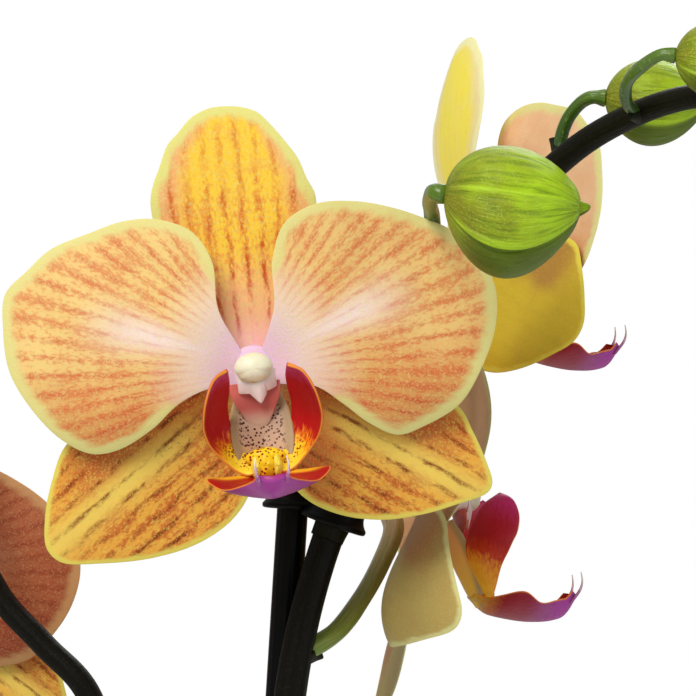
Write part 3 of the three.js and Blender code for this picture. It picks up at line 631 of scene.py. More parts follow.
@dataclass(frozen=True)
class LobeFinish:
    """Grown lip tissue, thick and waxy: strong colour in bands that run into each other, a soft gloss."""

    name: str
    bands: Stops
    low: float
    high: float
    flank: str
    flank_start: float
    margin: str
    outer: Stops
    spots: str = "#5a120c"
    spot_mm: float = 0.0
    margin_mm: float = 0.35
    outer_depth: Pair | None = None
    slope: float = 0.0

    def material(self) -> Material:
        """Bands by height in the flower, a flank by depth, small spots and a thin margin.

        The height is shifted by slope times the depth and by noise stretched along the lobe, so
        one band streaks into the next. Round spots stand at the points of a cell pattern; with
        no spacing the spot colour is a plain band. The outer bands may go by depth.

        Returns:
            The material.
        """
        coat = Coat(self.name, {
            "Roughness": 0.4, "IOR": 1.42, "Specular IOR Level": 0.3, "Coat Weight": 0.04,
            "Coat Roughness": 0.3, "Subsurface Weight": 0.06, "Subsurface Scale": 0.6 * MM,
        })
        add = coat.add
        spot, (_, height, depth) = coat.value("spot")
        _, (inner, edge, dotted) = coat.value("edge")
        streaky = add("Mapping", spot, Scale=(1.5, 0.3, 1.7))
        streaks = add("TexNoise", streaky, Scale=1.3, Detail=3.0)
        sloped = add("Math", depth, self.slope, height, operation="MULTIPLY_ADD")
        shifted = add("Math", streaks, 6.0, sloped, operation="MULTIPLY_ADD")
        place = add("MapRange", shifted, self.low + 3.0, self.high + 3.0)
        inside = add("ValToRGB", place, stops=self.bands)
        deeper = add("Math", streaks, 3.0, depth, operation="MULTIPLY_ADD")
        if self.outer_depth:
            rear, fore = (depth_mm + 1.5 for depth_mm in self.outer_depth)
            place = add("MapRange", deeper, rear, fore)
        outside = add("ValToRGB", place, stops=self.outer)
        flank = add("MapRange", deeper, self.flank_start + 1.5, self.flank_start - 1.0,
                    interpolation_type="SMOOTHSTEP")
        dots = dotted
        if self.spot_mm:
            cells = add("TexVoronoi", coat.place, Scale=1 / (self.spot_mm * MM))
            dots = add("MapRange", cells, 0.42, 0.32, 0.0, dotted)
        line = add("MapRange", edge, self.margin_mm, self.margin_mm / 3, interpolation_type="SMOOTHSTEP")
        inside = coat.layered(inside, (self.flank, flank), (self.spots, dots))
        colour = coat.layered(outside, (inside, inner), (self.margin, line))
        relief = add("TexNoise", coat.place, Scale=1300.0, Detail=2.0)
        return coat.done(colour, relief, 0.08)


@dataclass(frozen=True)
class ColumnFinish:
    """Grown column tissue, thick and waxy: near white, with light that sinks in, yellower below, partly as
    painted shade.
    """

    name: str = "column_tissue_waxy"
    top: str = "#ebe8cc"
    # Yellow-olive of the cap's lower edge: partly its own colour, partly painted shade.
    cream_and_shade: str = "#c9b262"
    blush: str = "#f0d8d8"
    foot: str = "#c8645a"

    def material(self) -> Material:
        """White laid over with the mesh's shares of yellow-olive, blush and foot colour.

        The yellow-olive, partly its own colour and partly painted shade at the cap's lower edge, comes in
        patches of 2 mm, and the pores of 0.5 mm are drawn coarser than real.

        Returns:
            The material.
        """
        coat = Coat(self.name, {
            "Roughness": 0.34, "IOR": 1.42, "Subsurface Weight": 0.25, "Subsurface Scale": 1.0 * MM,
        })
        add = coat.add
        _, (cream_and_shade, blush, foot) = coat.value("hue")
        patches = add("TexNoise", coat.place, Scale=450.0, Detail=2.0)
        soft = add("MapRange", patches, 0.3, 0.6, 0.0, cream_and_shade)
        pores = add("TexNoise", coat.place, Scale=1800.0, Detail=1.0)
        colour = coat.layered(self.top, (self.cream_and_shade, soft), (self.blush, blush), (self.foot, foot))
        return coat.done(colour, pores, 0.05)


@dataclass(frozen=True)
class BudFinish:
    """Grown bud skin: firm and satin, finely wrinkled lengthwise, with pale flecks, a painted highlight on
    the seam rims and painted shade underneath.
    """

    name: str = "bud_skin_satin"
    ground: str = "#80861c"
    light: str = "#b0d820"
    fold: str = "#66801a"
    speck: str = "#c4d460"
    # Painted shade: darker green laid on the underside, where light from above does not fall.
    under: str = "#46580f"
    # Painted highlight: bright lime laid along the raised seam rims.
    seam: str = "#b4dc30"

    def material(self) -> Material:
        """Wrinkles 0.9 mm apart and 6 mm long, flecks of 0.3 mm, limer towards the tip, painted shade
        underneath and a painted highlight on the seam rims.

        Returns:
            The material.
        """
        coat = Coat(self.name, {
            "Roughness": 0.42, "IOR": 1.42, "Specular IOR Level": 0.25, "Subsurface Weight": 0.08,
            "Subsurface Scale": 0.8 * MM,
        })
        add = coat.add
        flow, _ = coat.value("flow")
        # Tone: share of painted highlight on the seam rims, share of painted shade underneath, share along.
        _, (seam, under, along) = coat.value("tone")
        drift = add("TexNoise", coat.place, Scale=160.0, Detail=2.0)
        wrinkles_at = add("Mapping", flow, Scale=(1.1, 1.1, 0.16))
        wrinkles = add("TexNoise", wrinkles_at, Scale=1.0, Detail=3.0)
        flecks = add("TexNoise", coat.place, Scale=3000.0, Detail=1.0)
        ripe = add("Math", drift, 1.2, along, operation="MULTIPLY_ADD")
        lime = add("MapRange", ripe, 0.7, 1.5)
        folds = add("MapRange", wrinkles, 0.5, 0.36, 0.0, 0.6)
        specks = add("MapRange", flecks, 0.56, 0.7, 0.0, 0.32)
        # The last two layers are painted shade underneath and a painted highlight on the seam rims.
        colour = coat.layered(
            self.ground, (self.light, lime), (self.fold, folds), (self.speck, specks), (self.under, under),
            (self.seam, seam))
        relief = add("Math", flecks, 0.15, wrinkles, operation="MULTIPLY_ADD")
        return coat.done(colour, relief, 0.6)


@dataclass(frozen=True)
class StalkFinish:
    """Grown stem skin: hard and satin under wax, with long fibres and small pale pores."""

    name: str
    shades: Stops
    pore: str
    ridge: str
    roughness: float = 0.36
    gloss: float = 0.5
    wax: float = 0.2

    def material(self) -> Material:
        """Shades along the stalk by the mesh's tone, fibres along it, and pores 0.7 mm wide.

        Returns:
            The material.
        """
        coat = Coat(self.name, {
            "Roughness": self.roughness, "IOR": 1.45, "Specular IOR Level": self.gloss,
            "Coat Weight": self.wax, "Coat Roughness": 0.25,
        })
        add = coat.add
        flow, _ = coat.value("flow")
        _, (shade, ridge, _) = coat.value("tone")
        fibres_at = add("Mapping", flow, Scale=(26.0, 0.12, 0.0))
        fibres = add("TexNoise", fibres_at, Scale=1.0, Detail=2.0)
        pores = add("TexNoise", coat.place, Scale=1500.0, Detail=1.0)
        moved = add("Math", fibres, 0.22, shade, operation="MULTIPLY_ADD")
        centred = add("Math", moved, 0.11, operation="SUBTRACT")
        ground = add("ValToRGB", centred, stops=self.shades)
        spots = add("MapRange", pores, 0.62, 0.72, 0.0, 0.5)
        colour = coat.layered(ground, (self.ridge, ridge), (self.pore, spots))
        relief = add("Math", pores, 0.5, fibres, operation="MULTIPLY_ADD")
        return coat.done(colour, relief, 0.14)


@dataclass(frozen=True)
class LeafFinish:
    """Grown leaf with a thick cuticle: leathery and satin, dark above and dull wine-green below."""

    name: str = "leaf_cuticle_satin"
    top: str = "#2f5a22"
    light: str = "#4a7a2c"
    under: str = "#5c6b3c"
    flush: str = "#6a4442"
    midrib: str = "#86a552"

    def material(self) -> Material:
        """Veins 2.1 mm apart along the blade, blotches, a pale midrib and a grain of 0.7 mm.

        Returns:
            The material.
        """
        coat = Coat(self.name, {
            "Roughness": 0.34, "IOR": 1.45, "Coat Weight": 0.25, "Coat Roughness": 0.3,
        })
        add = coat.add
        _, (across, _, front) = coat.value("flow")
        _, (middle, edge, _) = coat.value("tone")
        blotch = add("TexNoise", coat.place, Scale=55.0, Detail=4.0)
        bent = add("Math", blotch, 1.4, across, operation="MULTIPLY_ADD")
        folded = add("Math", bent, 0.5, operation="PINGPONG")
        grain = add("TexNoise", coat.place, Scale=1400.0, Detail=2.0)
        veins = add("MapRange", folded, 0.3, 0.5, 0.0, 0.35)
        mottle = add("MapRange", blotch, 0.36, 0.7)
        fore = coat.layered(self.top, (self.light, mottle), (self.light, veins), (self.midrib, middle))
        aft = coat.layered(self.under, (self.flush, mottle), (self.midrib, middle))
        colour = coat.layered(aft, (fore, front), (self.flush, edge))
        relief = add("Math", folded, 1.4, grain, operation="MULTIPLY_ADD")
        return coat.done(colour, relief, 0.2)


@dataclass(frozen=True)
class RootFinish:
    """Dry velamen on an air root: a matt spongy skin, silver with green that shows through."""

    name: str = "root_velamen_dry"
    silver: str = "#b3b7a2"
    green: str = "#7d9159"
    stain: str = "#7b674a"

    def material(self) -> Material:
        """Green patches of some 8 mm, brown stains, and a spongy grain of 0.4 mm, coarser than real.

        Returns:
            The material.
        """
        coat = Coat(self.name, {"Roughness": 0.82, "IOR": 1.45, "Sheen Weight": 0.25})
        add = coat.add
        patches = add("TexNoise", coat.place, Scale=120.0, Detail=3.0)
        stains = add("TexNoise", coat.place, Scale=260.0, Detail=2.0)
        sponge = add("TexNoise", coat.place, Scale=2400.0, Detail=2.0)
        green = add("MapRange", patches, 0.42, 0.62, 0.0, 0.8)
        brown = add("MapRange", stains, 0.6, 0.75, 0.0, 0.7)
        colour = coat.layered(self.silver, (self.green, green), (self.stain, brown))
        return coat.done(colour, sponge, 0.3)


@dataclass(frozen=True)
class BarkFinish:
    """Conifer bark, broken into chips: matt corky layers, red-brown within, grey on the outside."""

    name: str = "conifer_bark_broken"
    shades: Stops = (
        (0.0, "#3a2517"), (0.35, "#5e3c25"), (0.65, "#7d5637"), (1.0, "#a08267"),
    )
    crack: str = "#20140c"

    def material(self) -> Material:
        """Layers 1.2 mm thick across each chip, darker cracks, and a shade for each chip.

        Returns:
            The material.
        """
        coat = Coat(self.name, {"Roughness": 0.93, "IOR": 1.45})
        add = coat.add
        _, (shade, _, _) = coat.value("tone")
        flow, _ = coat.value("flow")
        layers_at = add("Mapping", flow, Scale=(0.12, 0.12, 0.85))
        layers = add("TexNoise", layers_at, Scale=1.0, Detail=4.0)
        cracks = add("TexNoise", coat.place, Scale=380.0, Detail=5.0)
        mixed = add("Math", layers, 0.9, shade, operation="MULTIPLY_ADD")
        centred = add("Math", mixed, 0.45, operation="SUBTRACT")
        ground = add("ValToRGB", centred, stops=self.shades)
        dark = add("MapRange", cracks, 0.45, 0.32, 0.0, 0.8)
        colour = coat.layered(ground, (self.crack, dark))
        relief = add("Math", layers, 1.0, cracks, operation="ADD")
        return coat.done(colour, relief, 1.0)


@dataclass(frozen=True)
class GlazeFinish:
    """White stoneware under clear glaze, fired: a wet even gloss, faint waves and iron specks."""

    name: str = "stoneware_white_glaze"
    white: str = "#f1eee6"
    warm: str = "#e4ddcf"
    speck: str = "#b9a88c"

    def material(self) -> Material:
        """Glaze that pools a little warmer, with a few iron specks of 0.6 mm, and slow waves.

        Returns:
            The material.
        """
        coat = Coat(self.name, {
            "Roughness": 0.16, "IOR": 1.5, "Coat Weight": 0.6, "Coat Roughness": 0.06,
        })
        add = coat.add
        pools = add("TexNoise", coat.place, Scale=28.0, Detail=2.0)
        specks = add("TexNoise", coat.place, Scale=900.0, Detail=1.0)
        warm = add("MapRange", pools, 0.4, 0.75, 0.0, 0.7)
        iron = add("MapRange", specks, 0.76, 0.82, 0.0, 0.6)
        colour = coat.layered(self.white, (self.warm, warm), (self.speck, iron))
        return coat.done(colour, pools, 1.2)


@dataclass(frozen=True)
class MouldedFinish:
    """Black polypropylene, moulded or drawn: deep even black, satin, with faint flow lines."""

    name: str = "polypropylene_black_moulded"
    black: str = "#030303"
    worn: str = "#0a0a0a"

    def material(self) -> Material:
        """Flow lines 1 mm wide along the height, and scuffs of some 4 mm.

        Returns:
            The material.
        """
        coat = Coat(self.name, {"Roughness": 0.42, "IOR": 1.49, "Specular IOR Level": 0.12})
        add = coat.add
        lines_at = add("Mapping", coat.place, Scale=(1.0, 1.0, 0.08))
        lines = add("TexNoise", lines_at, Scale=900.0, Detail=2.0)
        scuffs = add("TexNoise", coat.place, Scale=240.0, Detail=5.0)
        worn = add("MapRange", scuffs, 0.55, 0.75, 0.0, 0.7)
        colour = coat.layered(self.black, (self.worn, worn))
        return coat.done(colour, lines, 0.06)


@dataclass(frozen=True)
class PaperFinish:
    """Matt white paper for the floor: even and bright, with a fibre grain almost too fine to see."""

    name: str = "studio_paper_matt"
    white: str = "#f7f7f6"
    shade: str = "#f1f1ef"

    def material(self) -> Material:
        """Fibre flocks of some 3 mm, very faint.

        Returns:
            The material.
        """
        coat = Coat(self.name, {"Roughness": 0.9})
        add = coat.add
        flocks = add("TexNoise", coat.place, Scale=300.0, Detail=3.0)
        return coat.done(coat.layered(self.white, (self.shade, flocks)), flocks, 0.05)

@dataclass
class Part:
    """A sub-assembly of one piece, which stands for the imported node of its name."""

    name: str
    LABEL: ClassVar[str]
    FINISH: ClassVar[str]
    SLOT: ClassVar[str]

    def skins(self) -> list[Skin]:
        """The closed surfaces of the piece."""
        raise NotImplementedError

    def build(self, wardrobe: Wardrobe) -> list[Piece]:
        """Make the piece of its surfaces and dress it from the wardrobe."""
        title = f"{self.name}_{self.LABEL}"
        return [make_piece(title, self.skins(), wardrobe[self.FINISH], self.SLOT, self.name)]


@dataclass
class Pot(Part):
    """The round glazed pot, with drain holes in its floor."""

    name: str = "pot"
    height: float = 121.0
    foot_radius: float = 45.5
    shoulder_radius: float = 59.0
    rim_radius: float = 62.5
    rim_depth: float = 9.0
    wall: float = 4.0
    floor: float = 5.0
    rounding: float = 2.2
    drain_radius: float = 5.0
    drain_circle: float = 24.0
    LABEL = "glazed"
    FINISH = "glaze"
    SLOT = "glazed_ceramic"

    def bore(self, z: Array | float) -> Array:
        """Radius of the inner face: a straight line from the floor to the shoulder."""
        share = (z - self.floor) / (self.height - self.rim_depth - self.floor)
        return self.foot_radius + (self.shoulder_radius - self.foot_radius) * share - self.wall

    def profile(self) -> Array:
        """The turned section: corners joined by lines, each corner rounded by a short curve.

        Between a corner's neighbours a and c at its rounding distance the curve is
        (1-t)^2 a + 2 t (1-t) b + t^2 c.

        Returns:
            Radii and heights from the middle of the bottom round to the middle of the floor.
        """
        shoulder = self.height - self.rim_depth
        lip = self.rim_radius - self.wall - 1
        corners = np.array([
            [0, 0], [0, 0], [self.foot_radius, 0], [self.shoulder_radius, shoulder - 2.5],
            [self.rim_radius, shoulder], [self.rim_radius, self.height], [lip, self.height],
            [self.bore(shoulder), shoulder], [self.bore(self.floor), self.floor],
            [0, self.floor], [0, self.floor],
        ])
        corner = corners[1:-1]
        t = np.linspace(0, 1, 9)[:, None, None]
        sides = []
        for other in (corners[:-2], corners[2:]):
            span = np.linalg.norm(other - corner, axis=1, keepdims=True)
            sides.append(corner + (other - corner) * np.minimum(0.45, self.rounding / np.maximum(span, 1e-6)))
        rounded = (1 - t) ** 2 * sides[0] + 2 * t * (1 - t) * corner + t**2 * sides[1]
        line = rounded.transpose(1, 0, 2).reshape(-1, 2)
        keep = np.append(True, np.linalg.norm(np.diff(line, axis=0), axis=1) > 1e-4)
        return line[keep]

    def skins(self) -> list[Skin]:
        """The turned pot."""
        return [lathe(self.profile(), 144)]

    def build(self, wardrobe: Wardrobe) -> list[Piece]:
        """Make the pot and cut its drain holes.

        Args:
            wardrobe: finishes by name.

        Returns:
            The pot alone.
        """
        pot, = pieces = super().build(wardrobe)
        posts = [
            tube(self.drain_circle * np.array([*cos_sin(angle), 0]) + np.array([[0, 0, -4], [0, 0, 9]]),
                 self.drain_radius, 48, domes=(0.05, 0.05))
            for angle in (90, 210, 330)
        ]
        cutter = make_piece("drain_cutter", posts, wardrobe[self.FINISH], self.SLOT)
        cut = pot.modifiers.new("drain", "BOOLEAN")
        cut.object = cutter
        cut.solver = "EXACT"
        shown = pot.evaluated_get(bpy.context.evaluated_depsgraph_get())
        holed = bpy.data.meshes.new_from_object(shown)
        pot.modifiers.clear()
        pot.data = holed
        bpy.data.objects.remove(cutter)
        return pieces


@dataclass
class BarkBed(Part):
    """Bark chips in the pot, on a plug that fills the pot below them."""

    name: str = "bark"
    level: float = 104.0
    top: float = 111.5
    chips: int = 210
    length: float = 19.0
    pot: Pot = field(default_factory=Pot)
    LABEL = "chips"
    FINISH = "bark"
    SLOT = "bark"

    def chip(self, centre: Array, size: Array, turn: Array, shade: float, seed: int) -> Skin:
        """One chip: a box with rounded edges, broken faces and a random turn.

        A point is the sign of each direction cosine times its power 0.45, which squares the
        ball, times the half size, times 1 + 0.16 noise. It is then skewed by 0.22 sin(seed), turned,
        and held below the top of the bed.

        Args:
            centre: its middle.
            size: half sizes.
            turn: rotation matrix.
            shade: place in the range of bark shades.
            seed: choice of the noise.

        Returns:
            The chip, whose trait flow holds its own upright coordinates.
        """
        egg = ball((1, 1, 1), (0, 0, 0), rows=9, around=14)
        square = np.sign(egg.points) * np.abs(egg.points) ** 0.45
        local = square * size * (1 + 0.16 * noise(square, 1.6, seed))[:, None]
        local[:, 0] += 0.22 * local[:, 1] * np.sin(seed)
        placed = local @ turn.T + centre
        placed[:, 2] = np.minimum(placed[:, 2], self.top)
        skin = Skin(placed, egg.quads, egg.triangles).outward()
        return skin.tinted(flow=local + seed, tone=(shade, 0, 0))

    def skins(self) -> list[Skin]:
        """Lay the plug and strew the chips over it in a sunflower pattern.

        Chip k of n lies at 12 + (reach - 19) sqrt((k + 0.5) / n) from the middle and at k golden
        angles, a little off by chance.

        Returns:
            The plug and the chips.
        """
        draw = np.random.default_rng(71)
        reach = self.pot.bore(self.level) - 1.0
        low = self.pot.floor + 0.3
        heights = low + np.linspace(0, 1, 12) * (self.level - 3 - low)
        side = joined(self.pot.bore(heights) - 0.4, heights)
        plug = lathe(np.vstack([[0, low], side, [0, self.level - 3]]), 96)
        skins = [plug.tinted(tone=(0.15, 0, 0))]
        for k in range(self.chips):
            radius = 12 + (reach - 19) * np.sqrt((k + 0.5) / self.chips)
            angle = k * np.pi * (3 - np.sqrt(5)) + draw.uniform(-0.2, 0.2)
            size = self.length * np.array([1, 0.62, 0.3]) / 2 * draw.uniform(0.6, 1.25, 3)
            tilt = draw.uniform(-0.45, 0.45, 2)
            yaw = draw.uniform(0, 2 * np.pi)
            (c, ca, cb), (s, sa, sb) = np.cos([yaw, *tilt]), np.sin([yaw, *tilt])
            turn = (np.array([[c, -s, 0], [s, c, 0], [0, 0, 1]])
                    @ np.array([[1, 0, 0], [0, ca, -sa], [0, sa, ca]])
                    @ np.array([[cb, 0, sb], [0, 1, 0], [-sb, 0, cb]]))
            rise = self.level - 1.5 + draw.uniform(-1.5, 4.5) * (1 - 0.4 * radius / reach)
            centre = np.array([radius * np.cos(angle), radius * np.sin(angle), rise])
            skins.append(self.chip(centre, size, turn, draw.uniform(0.1, 0.75), k))
        return skins


@dataclass
class Crown(Part):
    """The short stem that carries roots, leaves and spikes, wrapped in old leaf bases."""

    name: str = "crown"
    foot: float = 88.0
    top: float = 148.0
    radii: Pair = (10.5, 9.0)
    LABEL = "stem"
    FINISH = "crown"
    SLOT = "crown"

    def skins(self) -> list[Skin]:
        """Turn the crown's profile, swell it at five leaf scars and flute it.

        The radius is the profile times 1 + 0.05 max(0, sin(10 pi s + sin a)) + 0.02 sin 7a.

        Returns:
            The stem.
        """
        s, a = np.linspace(0, 1, 90)[:, None], circle(72)
        profile = np.interp(s, [0, 0.02, 0.3, 0.6, 0.86, 0.97, 1], [0, 0.72, 1, 0.92, 0.6, 0.32, 0])
        scar = np.maximum(0, np.sin(10 * np.pi * s + np.sin(a)))
        radius = profile * (1 + 0.05 * scar + 0.02 * np.sin(7 * a))
        height = self.foot + (self.top - self.foot) * s
        wide, deep = (size * radius for size in self.radii)
        flow = joined(a / (2 * np.pi), height, s)
        tone = joined(0.25 + 0.75 * s, 0.6 * scar**4, s)
        return [Skin.wrapped(joined(wide * np.cos(a), deep * np.sin(a), height), flow=flow, tone=tone)]


@dataclass
class Root(Part):
    """An air root that leaves the crown, arches over the bark and goes down into it."""

    path: Points
    radii: Pair = (2.6, 2.2)
    LABEL = "velamen"
    FINISH = "root"
    SLOT = "root"

    def skins(self) -> list[Skin]:
        """Carry a round section along the path, a little knotty: radius * (1 + 0.07 noise).

        Returns:
            The root.
        """
        path = spline(self.path, 90)
        radius = np.linspace(*self.radii, 90) * (1 + 0.07 * noise(path, 14, len(self.name)))
        return [tube(path, radius, 28)]


@dataclass
class StrapLeaf(Part):
    """A strap leaf that rises from the crown, channelled at its foot, and bends over."""

    compass: float
    level: float
    rise: float
    length: float
    half: float
    droop: float
    start: float = 6.3
    rows: int = 72
    columns: int = 33
    LABEL = "strap"
    FINISH = "leaf"
    SLOT = "leaf"

    def skins(self) -> list[Skin]:
        """Bend a channelled blade.

        The tilt falls evenly from rise to droop along the length. The half width is
        half * (0.22 + 0.78 sin(0.62 pi s^0.75)) * sqrt(1 - 0.985 s^5), the edges stand above the
        keel by channel * |v|^1.4, a groove 0.9 mm deep runs along the middle, and the edge
        waves by 0.8 mm.

        Returns:
            The blade.
        """
        s = np.linspace(0, 1, self.rows)[:, None]
        v = np.sin(np.linspace(-np.pi / 2, np.pi / 2, self.columns))
        tilt = np.radians(self.rise + (self.droop - self.rise) * s)
        step = self.length / (self.rows - 1)
        out = np.vstack([[0], np.cumsum(step * np.cos(tilt[1:]), axis=0)])
        up = np.vstack([[0], np.cumsum(step * np.sin(tilt[1:]), axis=0)])
        width = self.half * (0.22 + 0.78 * np.sin(0.62 * np.pi * s**0.75)) * np.sqrt(1 - 0.985 * s**5)
        channel = (0.42 - 0.32 * smooth(1.6 * s)) * width
        wave = 0.8 * np.sin(9 * s + 2.0 * v + self.compass) * v**2 * smooth(3 * s)
        lift = channel * np.abs(v) ** 1.4 + wave - 0.9 * np.exp(-((v * width / 2.2) ** 2)) + 0.4
        r = self.start + out - lift * np.sin(tilt)
        across = width * v
        east, north = cos_sin(self.compass)
        middle = joined(r * east - across * north, r * north + across * east,
                        self.level + up + lift * np.cos(tilt))
        rib = np.exp(-((across / 1.3) ** 2)) * (0.75 - 0.35 * s)
        rim = smooth((np.abs(v) - 0.955) / 0.045) * 0.6

        def paint(front: float) -> Values:
            """Place across in veins and along in millimetres; shares of midrib and rim."""
            return {"flow": joined(across / 2.1, s * self.length, front), "tone": joined(rib, rim, 0)}

        return [sheet(middle, v, (2.6 - 1.6 * v**2) * (1 - 0.35 * s), paint)]


@dataclass
class Stake(Part):
    """A straight stake that stands in the bark."""

    foot: Sequence[float]
    head: Sequence[float]
    radius: float = 2.7
    LABEL = "rod"
    FINISH = "plastic"
    SLOT = "support"

    def at_height(self, z: float) -> tuple[Array, Array]:
        """The place of the stake's middle at a height, and its direction."""
        foot, way = np.asarray(self.foot, float), np.subtract(self.head, self.foot)
        return foot + way * (z - foot[2]) / way[2], unit(way)

    def skins(self) -> list[Skin]:
        """Carry a section with sixteen fine ribs, 1 + 0.012 cos 16a, from foot to head."""
        path = np.linspace(self.foot, self.head, 60)
        return [tube(path, self.radius, 96, ribbed(96, 16, 0.012), (0.2, 0.7))]


@dataclass
class Stem:
    """The run of a spike: points on its middle and radii spread evenly over its length."""

    points: Points
    radii: Sequence[float]
    steps: int = 420

    def path(self) -> Array:
        """Even points on the middle line."""
        return spline(self.points, self.steps)

    def girth(self, share: Array | float) -> Array:
        """Radius at a share of the length."""
        return np.interp(share, np.linspace(0, 1, len(self.radii)), self.radii)

    def at_height(self, z: float) -> tuple[Array, Array]:
        """Find the first place where the stem reaches a height.

        Args:
            z: the height.

        Returns:
            The place and the stem's direction there.
        """
        path = self.path()
        place = int(np.argmax(path[:, 2] >= z))
        return path[place], unit(path[place + 1] - path[place - 1])


@dataclass
class Clip(Part):
    """A clip: a flared collar round a stake, a second, lower by rise, round a spike, and a web."""

    stake: Stake
    stem: Stem
    grip: float
    level: float
    wall: float = 1.4
    height: float = 6.0
    clearance: float = 0.45
    rise: float = 0.0
    LABEL = "collars"
    FINISH = "plastic"
    SLOT = "support"

    def collar(self, inner: float, foot: Array, way: Array) -> Skin:
        """One collar.

        Its section is a closed loop of radius and height: the bore, a rolled top edge, and a
        skirt that flares by 1.1 mm towards its rounded foot. The loop is turned about the way.

        Args:
            inner: radius of the bore.
            foot: middle of its lower edge.
            way: direction of what it holds.

        Returns:
            The collar.
        """
        outer = inner + self.wall
        section = spline([
            [inner, 0.2], [inner, 3.0], [inner, 5.6], [inner + 0.4, self.height], [outer - 0.4, self.height],
            [outer, 5.5], [outer, 2.8], [outer + 0.6, 1.5], [outer + 1.1, 0.9], [outer + 1.0, 0.2],
            [outer + 0.4, 0.0],
        ], 60, closed=True)
        side = unit(np.cross(way, [0.0, 1.0, 0.0]))
        ring = spokes(circle(56), side, np.cross(way, side))
        return Skin.ring(foot + section[:, :1, None] * ring + section[:, 1:, None] * way)

    def web(self, one: Array, two: Array) -> Skin:
        """The web: a rounded bar 3 mm thick and 5 mm high, waisted by a fifth at its middle.

        Its section is the sign of cos a and of sin a times their power 0.35.

        Args:
            one: where it starts, at the level of its foot.
            two: where it ends.

        Returns:
            The bar.
        """
        path = np.linspace(one, two, 24) + UP * self.height / 2
        across = unit(np.cross(two - one, UP))
        wide, high = (np.sign(wave) * np.abs(wave) ** 0.35
                      for wave in (np.cos(circle(36))[:, None], np.sin(circle(36))[:, None]))
        waist = 1 - 0.2 * np.sin(np.pi * np.linspace(0, 1, 24))[:, None, None]
        return Skin.wrapped(capped(path[:, None] + waist * (1.5 * wide * across + 2.5 * high * UP)))

    def skins(self) -> list[Skin]:
        """Place both collars at the clip's level and join them by the web.

        Returns:
            The collars and the web.
        """
        one, way_one = self.stake.at_height(self.level + self.rise)
        two, way_two = self.stem.at_height(self.level)
        bores = (self.stake.radius + self.clearance, self.grip + self.clearance)
        reach = unit(two - one)
        return [
            self.collar(bores[0], one, way_one), self.collar(bores[1], two, way_two),
            self.web(one + reach * (bores[0] + 0.7), two - reach * (bores[1] + 0.7)),
        ]


@dataclass
class Bud(Part):
    """A closed bud: a blunt egg whose sepals meet in raised seams, with a small nib."""

    base: Sequence[float]
    tip: Sequence[float]
    radius: float
    sag: float
    stalk: Points = ()
    seams: Sequence[Pair] = ((90.0, 0.7), (210.0, 0.7), (330.0, 0.7))
    stalk_shades: Pair = (0.3, 0.55)
    run_in: float = 2.2
    bract_reach: float = 1.5
    LABEL = "skin"
    FINISH = "bud"
    SLOT = "bud"

    def axes(self) -> tuple[Array, Array, Array, float]:
        """Set up the bud's own axes.

        Returns:
            Its right, its up, its direction, and its length.
        """
        way = np.subtract(self.tip, self.base).astype(float)
        length = float(np.linalg.norm(way))
        right = unit(np.cross(UP, way))
        return right, np.cross(way / length, right), way / length, length

    def skins(self) -> list[Skin]:
        """Form the bud, on which one sepal laps over the next.

        At share t of the length and angle a the radius is radius times
        sqrt((sin(pi (t / 0.93)^0.9)^0.55 face)^2 + nib^2). The face is 0.945 + 0.045 along each
        rim, 3 degrees past a seam, - 0.06 in the groove 3 degrees before it + 0.02 noise, and
        the nib is 0.13 sqrt(10 - 10 t) near the tip. A seam's second number is its strength,
        below 0 where it laps the other way. The middle line sags by sag * sin(pi t).

        Returns:
            Skin with traits flow and tone.
        """
        right, up, way, length = self.axes()
        t = np.append(0.93 * (0.5 - 0.5 * np.cos(np.linspace(0, np.pi, 64))), np.linspace(0.937, 1, 12))
        t, a = np.meshgrid(t, circle(180), indexing="ij")
        rim, groove = np.zeros_like(t), np.zeros_like(t)
        for seam, power in self.seams:
            past = np.sign(power) * ((np.degrees(a) - seam + 180) % 360 - 180)
            rim += abs(power) * np.exp(-(((past - 3) / 3.4) ** 2))
            groove += abs(power) * np.exp(-(((past + 3) / 3) ** 2))
        kept = smooth(t * 7) * (1 - 0.5 * smooth((t - 0.6) / 0.4))
        flow = joined(np.cos(a) * self.radius, np.sin(a) * self.radius, t * length)
        bumps = 0.02 * noise(flow.reshape(-1, 3), 1.1 * self.radius, 5).reshape(t.shape)
        face = 0.945 + bumps + kept * (0.045 * rim - 0.06 * groove)
        egg = np.sin(np.pi * np.clip(t / 0.93, 0, 1) ** 0.9) ** 0.55
        nib = 0.13 * np.sqrt(np.clip(10 - 10 * t, 0, 1)) * smooth((t - 0.8) / 0.1)
        radius = self.radius * np.hypot(egg * face, nib)
        radius[0] = radius[-1] = 0
        x, y = radius * np.cos(a), radius * np.sin(a) - self.sag * np.sin(np.pi * t)
        along = np.asarray(self.base) + (t * length)[..., None] * way
        grid = along + x[..., None] * right + y[..., None] * up
        # Painted shade and highlight: below is the share of darker green on the underside, and the tone's
        # first part is the share of lime on the raised seam rims.
        below = 0.85 * smooth((-np.sin(a) - 0.45) / 0.25) * smooth(3 * t)
        tone = joined(0.7 * np.clip(rim, 0, 1) * smooth(t * 6), below, t)
        return [Skin.wrapped(grid, flow=flow, tone=tone)]

    def stalk_skin(self) -> Skin:
        """Run the stalk, ribbed by 1 + 0.04 cos 6a, to just short of the bud.

        Returns:
            The stalk.
        """
        way = self.axes()[2]
        base = np.asarray(self.base, float)
        path = spline([*self.stalk, base - way * self.run_in, base - way * 0.05], 90)
        thick = min(1.35, 0.1 * self.radius + 0.4)
        swell = 0.3 * smooth((np.linspace(0, 1, 90) - 0.9) * 9)
        radius = thick * (1 + 0.1 * noise(path, 9, 3) + swell)
        return shaded(tube(path, radius, 30, ribbed(30, 6, 0.04), (0.3, 0.2)), self.stalk_shades)


